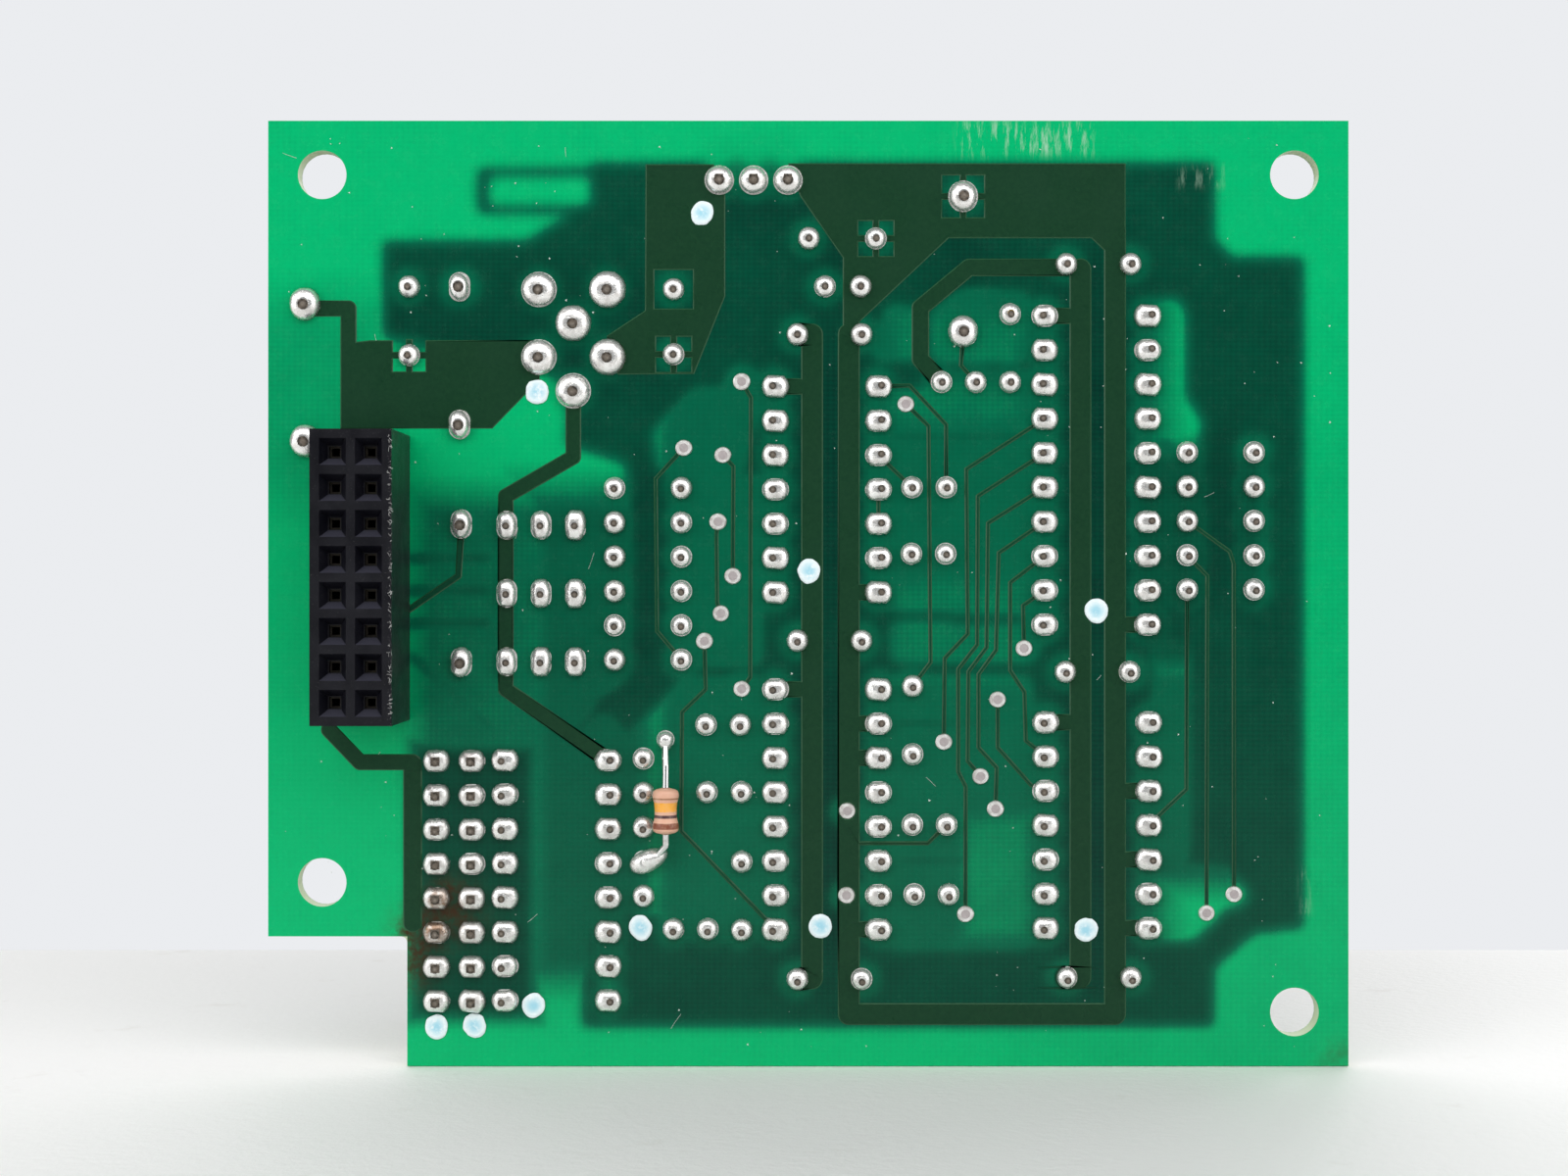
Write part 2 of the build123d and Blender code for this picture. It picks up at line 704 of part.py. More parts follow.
def make_header():
    base_length = pitch * header_rows
    centre = (header_x + header_gap / 2, header_top - pitch * (header_rows - 1) / 2)
    with BuildPart() as base:
        with BuildSketch(level(copper_thick)):
            with Locations(centre):
                Rectangle(header_gap + 2 * header_margin, base_length)
        extrude(amount=-(header_base_high - copper_thick))
        with BuildSketch(level(0)):
            # the notches moulded between one pair of posts and the next
            for i in range(header_rows + 1):
                z = header_top + pitch / 2 - pitch * i
                for x in (header_x - header_margin, header_x + header_gap + header_margin):
                    with Locations((x, z)):
                        Rectangle(header_notch_side, header_notch_side, rotation=45)
        extrude(amount=-header_base_high, mode=Mode.SUBTRACT)
        with BuildSketch(level(0)):
            with Locations(*header_spots):
                Rectangle(post_side, post_side)
        extrude(amount=-header_base_high, mode=Mode.SUBTRACT)
    keep(base, "output_header_base")
    make_posts("output_header_posts", header_spots, header_post_high)


def make_posts(name, places, high):
    point = post_side / 4
    with BuildPart() as posts:
        with BuildSketch(level(high - point)):
            with Locations(*places):
                Rectangle(post_side, post_side)
        extrude(amount=high - point + board_thick + tip_out)
        with BuildSketch(level(high - point)):
            with Locations(*places):
                Rectangle(post_side, post_side)
        extrude(amount=-point, taper=post_taper)
    keep(posts, name)


def make_socket():
    with BuildPart() as housing:
        with BuildSketch(solder_face.offset(copper_thick)):
            with Locations((socket_x, socket_z)):
                Rectangle(socket_width, socket_length)
        extrude(amount=socket_high - copper_thick)
        with BuildSketch(solder_face.offset(socket_high)):
            with Locations(*socket_spots):
                Rectangle(funnel_side, funnel_side)
        extrude(amount=-funnel_deep, taper=funnel_taper, mode=Mode.SUBTRACT)
        with BuildSketch(solder_face.offset(socket_high - funnel_deep)):
            with Locations(*socket_spots):
                Rectangle(contact_side, contact_side)
        extrude(amount=-(socket_high - funnel_deep - copper_thick), mode=Mode.SUBTRACT)
    keep(housing, "socket_housing")
    spring = socket_high - funnel_deep - contact_recess
    with BuildPart() as contacts:
        # a square sleeve open to the mating post, on a solid foot, with a tail through the board
        with BuildSketch(solder_face.offset(copper_thick)):
            with Locations(*socket_spots):
                Rectangle(contact_side, contact_side)
        extrude(amount=spring - copper_thick)
        bore = contact_side - 2 * contact_wall
        with BuildSketch(solder_face.offset(spring)):
            with Locations(*socket_spots):
                Rectangle(bore, bore)
        extrude(amount=-(spring - copper_thick - contact_root), mode=Mode.SUBTRACT)
        with BuildSketch(solder_face.offset(copper_thick)):
            with Locations(*socket_spots):
                Rectangle(post_side, post_side)
        extrude(amount=-(copper_thick + board_thick + tip_out))
    keep(contacts, "socket_contacts")


def make_inlet():
    wall_width, wall_thick, wall_high = inlet_wall
    lip_reach, lip_high = inlet_lip
    with BuildPart() as base:
        with BuildSketch(level(copper_thick)):
            with Locations((inlet_x, inlet_z)):
                Rectangle(*inlet_base)
        extrude(amount=-(inlet_base_high - copper_thick))
        with BuildSketch(level(inlet_base_high)):
            with Locations((inlet_x, inlet_z + inlet_base[1] / 2 - wall_thick / 2)):
                Rectangle(wall_width, wall_thick)
        extrude(amount=-(wall_high - inlet_base_high))
        # the lip that a plug latches over
        with BuildSketch(level(wall_high)):
            with Locations((inlet_x, inlet_z + inlet_base[1] / 2 - wall_thick)):
                Rectangle(wall_width, lip_reach)
        extrude(amount=lip_high)
        with BuildSketch(level(0)):
            with Locations(*inlet_spots):
                Rectangle(post_side, post_side)
        extrude(amount=-inlet_base_high, mode=Mode.SUBTRACT)
    keep(base, "power_inlet_base")
    make_posts("power_inlet_posts", inlet_spots, inlet_post_high)


# ---- regulators ----

def make_regulators():
    leg_x, leg_z = power_leg
    shoulder_wide, shoulder_high = regulator_shoulder
    for number, (x, z) in enumerate(regulator_spots, 1):
        front = z - regulator_front
        body_z = front + regulator_body_thick / 2
        tab_z = front + regulator_body_thick + tab_thick / 2
        top = regulator_lift + regulator_body_high
        with BuildPart() as body:
            with BuildSketch(level(regulator_lift)):
                with Locations((x, body_z)):
                    Rectangle(regulator_width, regulator_body_thick)
            extrude(amount=-regulator_body_high)
            front_edges = body.edges().filter_by(Axis.X).sort_by(Axis.Z)[:2]
            chamfer(front_edges, regulator_chamfer)
        keep(body, f"regulator_{number}_body")
        with BuildPart() as frame:
            with BuildSketch(level(regulator_lift)):
                with Locations((x, tab_z)):
                    Rectangle(regulator_width, tab_thick)
            extrude(amount=-(regulator_body_high + tab_high))
            hole_at = at(x, tab_z - tab_thick, top + tab_high - tab_hole_drop)
            with BuildSketch(Plane(origin=hole_at, z_dir=(0, 0, 1))):
                Circle(tab_hole_r)
            extrude(amount=2 * tab_thick, mode=Mode.SUBTRACT)
            with BuildSketch(level(regulator_lift)):
                with Locations((x - pitch, z), (x, z), (x + pitch, z)):
                    Rectangle(shoulder_wide, leg_z)
            extrude(amount=shoulder_high)
            with BuildSketch(level(regulator_lift)):
                with Locations((x - pitch, z), (x + pitch, z)):
                    Rectangle(*power_leg)
            extrude(amount=regulator_lift + board_thick + tip_out)
            with BuildSketch(level(regulator_step_high)):
                with Locations((x, z)):
                    Rectangle(*power_leg)
            extrude(amount=-(regulator_lift - regulator_step_high))
            with BuildSketch(level(regulator_step_high)):
                with Locations((x, z - regulator_step / 2)):
                    Rectangle(leg_x, regulator_step + leg_z)
            extrude(amount=-leg_z)
            with BuildSketch(level(regulator_step_high)):
                with Locations((x, z - regulator_step)):
                    Rectangle(*power_leg)
            extrude(amount=regulator_step_high + board_thick + tip_out)
        keep(frame, f"regulator_{number}_frame")


# ---- trimmers ----

def make_trimmers():
    length = screw_side + worm_r + worm_gap + 2 * wheel_r + wheel_side_gap + trimmer_wall
    width, high = trimmer_width, trimmer_high
    roof_under = high - trimmer_roof
    housing_x = trimmer_x + trimmer_end - length / 2
    wheel_x = trimmer_x + trimmer_end - trimmer_wall - wheel_side_gap - wheel_r
    screw_x = wheel_x - wheel_r - worm_gap - worm_r
    wheel_high = (trimmer_floor + roof_under) / 2
    inner_half = width / 2 - trimmer_wall
    with BuildPart() as terminals:
        with BuildSketch(level(trimmer_floor + terminal_inside)):
            with Locations(*trimmer_spots):
                Circle(wire_r)
        extrude(amount=trimmer_floor + terminal_inside + board_thick + tip_out)
    keep(terminals, "trimmer_terminals")
    with BuildPart() as elements:
        for z in trimmer_rows:
            with BuildSketch(Plane(origin=at(wheel_x, z + inner_half, wheel_high), z_dir=(0, 0, -1))):
                Rectangle(*(2 * (wheel_r + margin) for margin in element_margin))
                Circle(wheel_pin_r, mode=Mode.SUBTRACT)
            extrude(amount=element_thick)
    for number, z in enumerate(trimmer_rows, 1):
        with BuildPart() as housing:
            with BuildSketch(level(copper_thick)):
                with Locations((housing_x, z)):
                    Rectangle(length, width)
            extrude(amount=-(high - copper_thick))
            with BuildSketch(level(trimmer_floor)):
                with Locations((housing_x, z)):
                    Rectangle(length - 2 * trimmer_wall, width - 2 * trimmer_wall)
            extrude(amount=-(roof_under - trimmer_floor), mode=Mode.SUBTRACT)
            with BuildSketch(level(roof_under)):
                with Locations((screw_x, z)):
                    Circle(screw_r + screw_play)
            extrude(amount=-trimmer_roof, mode=Mode.SUBTRACT)
            with BuildSketch(Plane(origin=at(wheel_x, z - inner_half, wheel_high), z_dir=(0, 0, 1))):
                Circle(wheel_pin_r)
            extrude(amount=2 * inner_half)
            with BuildSketch(level(0)):
                with Locations(*trimmer_spots[3 * number - 3:3 * number]):
                    Circle(wire_r)
            extrude(amount=-trimmer_floor, mode=Mode.SUBTRACT)
        keep(housing, f"trimmer_{number}_housing")
        flange_under = roof_under - flange_play - flange_thick
        slot_wide, slot_deep = screw_slot
        with BuildPart() as screw:
            with BuildSketch(level(trimmer_floor + worm_end_gap)):
                with Locations((screw_x, z)):
                    Circle(worm_r)
            extrude(amount=-(flange_under - trimmer_floor - worm_end_gap))
            with BuildSketch(level(flange_under)):
                with Locations((screw_x, z)):
                    Circle(flange_r)
            extrude(amount=-flange_thick)
            with BuildSketch(level(flange_under + flange_thick)):
                with Locations((screw_x, z)):
                    Circle(screw_r)
            extrude(amount=-(flange_play + trimmer_roof + screw_out))
            with BuildSketch(level(high + screw_out)):
                with Locations((screw_x, z)):
                    Rectangle(2 * screw_r + 1, slot_wide)
            extrude(amount=slot_deep, mode=Mode.SUBTRACT)
        keep(screw, f"trimmer_{number}_screw")
        hub_low = -(inner_half - hub_gap)
        hub_long = 2 * inner_half - 2 * hub_gap - element_thick
        with BuildPart() as wheel:
            with BuildSketch(Plane(origin=at(wheel_x, z - wheel_thick / 2, wheel_high), z_dir=(0, 0, 1))):
                Circle(wheel_r)
            extrude(amount=wheel_thick)
            with BuildSketch(Plane(origin=at(wheel_x, z + hub_low, wheel_high), z_dir=(0, 0, 1))):
                Circle(hub_r)
            extrude(amount=hub_long)
            with BuildSketch(Plane(origin=at(wheel_x, z + hub_low, wheel_high), z_dir=(0, 0, 1))):
                Circle(wheel_pin_r + wheel_play)
            extrude(amount=hub_long, mode=Mode.SUBTRACT)
        keep(wheel, f"trimmer_{number}_wheel")
    keep(elements, "trimmer_elements")


# ---- two-lead parts that stand up ----

def make_capacitors():
    groups = (
        ("bypass_capacitors", bypass_capacitors, bypass_body, 0.9),
        ("small_capacitors", small_capacitors, small_body, 0.7),
        ("film_capacitors", film_capacitors, film_body, 0.5),
    )
    spots = ends(bypass_capacitors + small_capacitors + film_capacitors)
    with BuildPart() as leads:
        with BuildSketch(level(capacitor_lift)):
            with Locations(*spots):
                Circle(wire_r)
        extrude(amount=capacitor_lift + board_thick + tip_out)
        with BuildSketch(level(can_lift)):
            with Locations(*can_spots):
                Circle(wire_r)
        extrude(amount=can_lift + board_thick + tip_out)
    keep(leads, "capacitor_leads")
    for name, pairs, (long, thick, high), corner in groups:
        with BuildPart() as bodies:
            for pair in pairs:
                with BuildSketch(level(capacitor_lift)):
                    with Locations(middle(pair)):
                        RectangleRounded(long, thick, thick * corner_share, rotation=pair_turn(pair))
                extrude(amount=-high)
        keep(bodies, name)
    can_r, can_high = can_body
    with BuildPart() as can:
        with BuildSketch(level(can_lift)):
            with Locations(middle(can_spots)):
                Circle(can_r)
        extrude(amount=-can_high)
        fillet(can.edges().sort_by(Axis.Y)[-1], can_edge_r)
    keep(can, "electrolytic_can")


# ---- two-lead parts that lie down ----

def lying_lead(pair, body_long, axis_high, radius):
    # both leads of one lying part: along its axis, round a bend and down through the board
    mid_x, mid_z = middle(pair)
    toward = body_long / pair_span(pair)
    for x, z in pair:
        start = at(mid_x + (x - mid_x) * toward, mid_z + (z - mid_z) * toward, axis_high)
        with BuildLine() as run:
            FilletPolyline(
                start, at(x, z, axis_high), at(x, z, -board_thick - tip_out), radius=wire_bend
            )
        with BuildSketch(Plane(origin=run.line @ 0, z_dir=run.line % 0)) as section:
            Circle(radius)
        sweep(section.sketch, path=run.line)


def lying_plane(pair, axis_high):
    (xa, za), (xb, zb) = pair
    mid_x, mid_z = middle(pair)
    return Plane(origin=at(mid_x, mid_z, axis_high), x_dir=(0, 1, 0), z_dir=(xb - xa, 0, zb - za))


def dumbbell(plane):
    # a small resistor's body along the plane's normal: a waist between two thicker ends
    long, waist_r, end_r = resistor_body
    with BuildSketch(plane) as waist:
        Circle(waist_r)
    extrude(waist.sketch, amount=long / 2, both=True)
    for side in (-1, 1):
        with BuildSketch(plane.offset(side * (long - resistor_cap) / 2)) as end:
            Circle(end_r)
        extrude(end.sketch, amount=resistor_cap / 2, both=True)


def make_small_resistors():
    long, waist_r, end_r = resistor_body
    high = end_r + lying_gap
    with BuildPart() as bodies:
        for pair in small_resistors:
            dumbbell(lying_plane(pair, high))
    keep(bodies, "small_resistor_bodies")
    with BuildPart() as leads:
        for pair in small_resistors:
            lying_lead(pair, long, high, wire_r)
    keep(leads, "small_resistor_leads")


def make_diodes():
    groups = (
        ("glass_diode", [glass_diode], glass_body),
        ("plastic_diode", [plastic_diode], plastic_body),
        ("power_diodes", power_diodes, power_body),
    )
    for name, pairs, (long, radius) in groups:
        with BuildPart() as bodies:
            for pair in pairs:
                with BuildSketch(lying_plane(pair, radius + lying_gap)):
                    Circle(radius)
                extrude(amount=long / 2, both=True)
        keep(bodies, name)
    with BuildPart() as leads:
        for name, pairs, (long, radius) in groups:
            for pair in pairs:
                lying_lead(pair, long, radius + lying_gap, heavy_wire_r)
    keep(leads, "diode_leads")


# ---- in-line parts ----

def make_network():
    long, thick, high = network_body
    centre = (network_x, network_top - pitch * (network_pins - 1) / 2)
    with BuildPart() as body:
        with BuildSketch(level(capacitor_lift)):
            with Locations(centre):
                RectangleRounded(thick, long, network_corner_r)
        extrude(amount=-high)
    keep(body, "resistor_network")
    with BuildPart() as pins:
        with BuildSketch(level(capacitor_lift)):
            with Locations(*network_spots):
                Circle(wire_r)
        extrude(amount=capacitor_lift + board_thick + tip_out)
    keep(pins, "resistor_network_pins")


def make_transistor():
    x, z = transistor_spot
    radius, high, flat = transistor_body
    splay_high, straight_high = transistor_leg_bends
    with BuildPart() as body:
        with BuildSketch(level(transistor_lift)):
            with Locations((x, z)):
                Circle(radius)
            with Locations((x, z - flat - radius)):
                Rectangle(2 * radius, 2 * radius, mode=Mode.SUBTRACT)
        extrude(amount=-high)
    keep(body, "transistor_body")
    with BuildPart() as legs:
        for i in (-1, 0, 1):
            near = x + i * pitch / 2
            far = x + i * pitch
            with BuildLine() as run:
                if i:
                    FilletPolyline(
                        at(near, z, transistor_lift), at(near, z, splay_high), at(far, z, straight_high),
                        at(far, z, -board_thick - tip_out), radius=transistor_leg_bend_r,
                    )
                else:
                    Line(at(near, z, transistor_lift), at(far, z, -board_thick - tip_out))
            with BuildSketch(Plane(origin=run.line @ 0, z_dir=run.line % 0)):
                Circle(wire_r)
            sweep(path=run.line)
    keep(legs, "transistor_legs")


def make_test_pin():
    collar_r, collar_high = test_collar
    with BuildPart() as pin:
        with BuildSketch(level(0)):
            with Locations(test_pin_spot):
                Circle(wire_r)
        extrude(amount=board_thick + tip_out)
        with BuildSketch(level(copper_thick)):
            with Locations(test_pin_spot):
                Circle(collar_r)
        extrude(amount=-collar_high)
        with BuildSketch(level(0)):
            with Locations(test_pin_spot):
                Circle(wire_r)
        extrude(amount=-copper_thick)
        with BuildSketch(level(copper_thick + collar_high)):
            with Locations(test_pin_spot):
                Circle(test_pin_r)
        extrude(amount=-test_pin_high)
        fillet(pin.edges().sort_by(Axis.Y)[-1], test_pin_edge_r)
    keep(pin, "test_pin")


# ---- the resistor added across the solder side ----

def under(x, z, height):
    # a place that high off the solder face
    return at(x, z, -board_thick - height)


def make_patch():
    half = resistor_body[0] / 2
    with BuildPart() as body:
        dumbbell(Plane(origin=under(patch_x, patch_z, patch_high), x_dir=(1, 0, 0), z_dir=(0, 0, 1)))
    keep(body, "patch_resistor_body")
    # each lead's points are measured from the body's end, then from where it is soldered
    top_end = (patch_x, patch_z + half)
    low_end = (patch_x, patch_z - half)
    runs = (
        (top_end, patch_upper_run, (top_end, patch_dab, patch_dab)),
        (low_end, patch_lower_run, (low_end, patched_spot, patched_spot)),
    )
    with BuildPart() as leads:
        for (end_x, end_z), run_points, bases in runs:
            points = [under(end_x, end_z, patch_high)]
            for (base_x, base_z), (x, z, height) in zip(bases, run_points):
                points.append(under(base_x + x, base_z + z, height))
            with BuildLine() as run:
                FilletPolyline(*points, radius=patch_bend_r)
            with BuildSketch(Plane(origin=run.line @ 0, z_dir=run.line % 0)):
                Circle(wire_r)
            sweep(path=run.line)
    keep(leads, "patch_resistor_leads")
    blob_at = (patched_spot[0] + patch_blob_off[0], patched_spot[1] + patch_blob_off[1])
    with BuildPart() as solder:
        with BuildSketch(solder_face.offset(copper_thick)):
            with Locations(blob_at):
                SlotCenterToCenter(patch_blob_long, patch_blob_width, rotation=patch_blob_turn)
        extrude(amount=patch_blob_rise, taper=patch_blob_taper)
        with BuildSketch(solder_face.offset(copper_thick)):
            with Locations(patch_dab):
                Circle(patch_dab_r)
        extrude(amount=patch_dab_rise, taper=patch_dab_taper)
        with BuildSketch(solder_face.offset(copper_thick)):
            with Locations(patched_spot):
                Circle(wire_r)
        extrude(amount=tip_out, mode=Mode.SUBTRACT)
        add(leads.part, mode=Mode.SUBTRACT)
    keep(solder, "patch_solder")


make_board()
solder_pads = make_pads()
solder_tracks = make_solder_side_tracks()
make_component_side_tracks()
make_vias()
make_joints("package_joints", ("package",))
make_joints("header_joints", ("header",))
make_joints("trimmer_joints", ("trimmer",))
make_joints("wire_joints", ("wire",))
make_joints("power_joints", ("diode", "power_diode", "inlet", "regulator"))
make_socket_joints()
make_paint_dots(solder_tracks, solder_pads)
make_packages()
make_header()
make_socket()
make_inlet()
make_regulators()
make_trimmers()
make_capacitors()
make_small_resistors()
make_diodes()
make_network()
make_transistor()
make_test_pin()
make_patch()
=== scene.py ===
import bpy
import bmesh
import math
import numpy as np
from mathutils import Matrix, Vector
from mathutils.bvhtree import BVHTree


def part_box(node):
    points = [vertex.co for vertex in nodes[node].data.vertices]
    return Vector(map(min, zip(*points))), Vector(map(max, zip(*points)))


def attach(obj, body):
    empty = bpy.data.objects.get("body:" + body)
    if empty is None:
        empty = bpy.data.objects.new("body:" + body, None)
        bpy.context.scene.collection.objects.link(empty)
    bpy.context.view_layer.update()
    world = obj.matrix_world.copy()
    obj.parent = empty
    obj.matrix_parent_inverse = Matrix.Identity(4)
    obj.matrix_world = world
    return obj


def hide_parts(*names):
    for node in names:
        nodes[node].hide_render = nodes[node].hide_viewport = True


# A servo driver board on a pale table. X runs right, Z up, and the solder side faces -Y.
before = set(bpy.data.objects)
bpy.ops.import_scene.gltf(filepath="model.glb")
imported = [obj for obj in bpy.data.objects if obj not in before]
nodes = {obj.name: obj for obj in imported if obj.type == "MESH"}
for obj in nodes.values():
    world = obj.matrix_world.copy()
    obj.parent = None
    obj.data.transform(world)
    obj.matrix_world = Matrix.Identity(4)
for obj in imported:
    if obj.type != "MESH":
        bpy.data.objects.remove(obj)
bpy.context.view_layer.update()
mm = 0.001
boardLow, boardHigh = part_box("board_laminate")
root = "board_assembly"


def place(x, z, y=0.0):
    # a place on the board in millimetres from its lower left corner, y out of the solder face
    return Vector((boardLow.x + x * mm, -y * mm, boardLow.z + z * mm))


# small helpers for node trees

def addNode(tree, kind, inputs=None, **settings):
    node = tree.nodes.new(kind)
    for name, value in settings.items():
        setattr(node, name, value)
    for name, value in (inputs or {}).items():
        socket = node.inputs[name]
        if isinstance(value, bpy.types.NodeSocket):
            tree.links.new(value, socket)
        else:
            socket.default_value = value
    return node


def maths(tree, operation, a, b=0.0, clamp=False):
    return addNode(tree, "ShaderNodeMath", {0: a, 1: b}, operation=operation, use_clamp=clamp).outputs[0]


def times(tree, a, b, clamp=False):
    return maths(tree, "MULTIPLY", a, b, clamp)


def blendColours(tree, factor, first, second, mode="MIX"):
    node = addNode(tree, "ShaderNodeMix", data_type="RGBA", blend_type=mode)
    for socket, value in ((node.inputs[0], factor), (node.inputs[6], first), (node.inputs[7], second)):
        if isinstance(value, bpy.types.NodeSocket):
            tree.links.new(value, socket)
        elif socket.type == "RGBA":
            socket.default_value = (*value, 1.0)
        else:
            socket.default_value = value
    return node.outputs[2]


def remap(tree, value, low, high, outLow=0.0, outHigh=1.0):
    node = addNode(tree, "ShaderNodeMapRange", {0: value, 1: low, 2: high, 3: outLow, 4: outHigh}, clamp=True)
    return node.outputs[0]


def vectorOf(tree, x, y, z):
    return addNode(tree, "ShaderNodeCombineXYZ", {0: x, 1: y, 2: z}).outputs[0]


def vectorMaths(tree, operation, inputs):
    return addNode(tree, "ShaderNodeVectorMath", inputs, operation=operation).outputs[0]


def flatDistance(tree, a, b):
    squares = maths(tree, "ADD", times(tree, a, a), times(tree, b, b))
    return maths(tree, "SQRT", squares)


class Finish:
    # one procedural material on Object coordinates

    def __init__(self, name, roughness=0.5, metallic=0.0, **sockets):
        self.material = bpy.data.materials.new(name)
        self.material.use_nodes = True
        self.tree = self.material.node_tree
        self.shader = self.tree.nodes["Principled BSDF"]
        self.shader.inputs["Roughness"].default_value = roughness
        self.shader.inputs["Metallic"].default_value = metallic
        for key, value in sockets.items():
            self.shader.inputs[key.replace("_", " ")].default_value = value
        self.coords = addNode(self.tree, "ShaderNodeTexCoord").outputs["Object"]

    def noise(self, size, detail=3.0, roughness=0.55, stretch=None):
        # size is the width of one blotch, in millimetres
        vector = self.coords
        if stretch:
            vector = addNode(self.tree, "ShaderNodeMapping", {"Vector": vector, "Scale": stretch}).outputs[0]
        node = addNode(
            self.tree, "ShaderNodeTexNoise",
            {"Vector": vector, "Scale": 1.0 / (size * mm), "Detail": detail, "Roughness": roughness},
        )
        return node.outputs[0]

    def axis(self, name):
        split = addNode(self.tree, "ShaderNodeSeparateXYZ", {0: self.coords})
        return split.outputs[name]

    def attribute(self, name):
        return addNode(self.tree, "ShaderNodeAttribute", attribute_name=name)

    def colour(self, value):
        socket = self.shader.inputs["Base Color"]
        if isinstance(value, bpy.types.NodeSocket):
            self.tree.links.new(value, socket)
        else:
            socket.default_value = (*value, 1.0)

    def mix(self, factor, first, second, mode="MIX"):
        self.colour(blendColours(self.tree, factor, first, second, mode))

    def rough(self, value):
        self.tree.links.new(value, self.shader.inputs["Roughness"])

    def bump(self, height, strength=0.3, distance=0.05):
        node = addNode(
            self.tree, "ShaderNodeBump",
            {"Height": height, "Strength": strength, "Distance": distance * mm},
        )
        previous = self.shader.inputs["Normal"].links
        if previous:
            self.tree.links.new(previous[0].from_socket, node.inputs["Normal"])
        self.tree.links.new(node.outputs[0], self.shader.inputs["Normal"])


def finishNode(names, finish):
    for name in names:
        data = nodes[name].data
        data.materials.clear()
        data.materials.append(finish.material)


# small helpers for meshes

def addObject(name, data):
    thing = bpy.data.objects.new(name, data)
    bpy.context.scene.collection.objects.link(thing)
    return thing


def meshFrom(work, name):
    data = bpy.data.meshes.new(name)
    work.to_mesh(data)
    work.free()
    return data


def looseParts(name):
    # the lowest and highest corner of each separate solid of a CAD node
    work = bmesh.new()
    work.from_mesh(nodes[name].data)
    bmesh.ops.remove_doubles(work, verts=work.verts, dist=1e-6)
    seen = set()
    found = []
    for start in work.verts:
        if start in seen:
            continue
        stack = [start]
        seen.add(start)
        corners = []
        while stack:
            vert = stack.pop()
            corners.append(vert.co.copy())
            for edge in vert.link_edges:
                other = edge.other_vert(vert)
                if other not in seen:
                    seen.add(other)
                    stack.append(other)
        low = Vector(min(c[i] for c in corners) for i in range(3))
        high = Vector(max(c[i] for c in corners) for i in range(3))
        found.append((low, high))
    work.free()
    return found


def makePiece(name, data, replaced=(), body=root, smooth=False):
    piece = addObject(name, data)
    if smooth:
        data.polygons.foreach_set("use_smooth", [True] * len(data.polygons))
    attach(piece, body)
    if replaced:
        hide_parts(*replaced)
    return piece


def bakeTree(name, points, tree, values, replaced=(), attributes=None):
    # runs a Geometry Nodes tree on a cloud of points and keeps the result as one plain mesh
    cloud = bpy.data.meshes.new(name + "Points")
    cloud.from_pydata([tuple(p) for p in points], [], [])
    for key, numbers in (attributes or {}).items():
        layer = cloud.attributes.new(key, "FLOAT", "POINT")
        layer.data.foreach_set("value", numbers)
    carrier = addObject(name + "Carrier", cloud)
    modifier = carrier.modifiers.new("make", "NODES")
    modifier.node_group = tree
    for item in tree.interface.items_tree:
        if item.item_type == "SOCKET" and item.in_out == "INPUT" and item.name in values:
            modifier[item.identifier] = values[item.name]
    bpy.context.view_layer.update()
    graph = bpy.context.evaluated_depsgraph_get()
    data = bpy.data.meshes.new_from_object(carrier.evaluated_get(graph))
    bpy.data.objects.remove(carrier)
    data.name = name
    return makePiece(name, data, replaced)


def newGeometryTree(name, inputs):
    # each input is a number, a whole number, or None for a material
    kinds = {float: "NodeSocketFloat", int: "NodeSocketInt", type(None): "NodeSocketMaterial"}
    tree = bpy.data.node_groups.new(name, "GeometryNodeTree")
    tree.interface.new_socket(name="Geometry", in_out="INPUT", socket_type="NodeSocketGeometry")
    for label, value in inputs.items():
        socket = tree.interface.new_socket(name=label, in_out="INPUT", socket_type=kinds[type(value)])
        if value is not None:
            socket.default_value = value
    tree.interface.new_socket(name="Geometry", in_out="OUTPUT", socket_type="NodeSocketGeometry")
    entry = tree.nodes.new("NodeGroupInput")
    leave = tree.nodes.new("NodeGroupOutput")
    return tree, entry.outputs, leave.inputs[0]


def changeMesh(tree, kind, mesh, inputs=None, **settings):
    # one node that takes a mesh in and gives one out
    return addNode(tree, "GeometryNode" + kind, {"Geometry": mesh, **(inputs or {})}, **settings).outputs[0]


def cylinderNode(tree, vertices, segments, fill=1, fillType="TRIANGLE_FAN", radius=1.0, depth=1.0):
    sizes = {
        "Vertices": vertices, "Side Segments": segments, "Fill Segments": fill, "Radius": radius, "Depth": depth,
    }
    return addNode(tree, "GeometryNodeMeshCylinder", sizes, fill_type=fillType).outputs[0]


def positionParts(tree):
    here = addNode(tree, "GeometryNodeInputPosition").outputs[0]
    return addNode(tree, "ShaderNodeSeparateXYZ", {0: here}).outputs


def readNumber(tree, label):
    return addNode(tree, "GeometryNodeInputNamedAttribute", {"Name": label}, data_type="FLOAT").outputs[0]


def storeNumber(tree, mesh, label, value, domain="POINT"):
    inputs = {"Name": label, "Value": value}
    return changeMesh(tree, "StoreNamedAttribute", mesh, inputs, data_type="FLOAT", domain=domain)


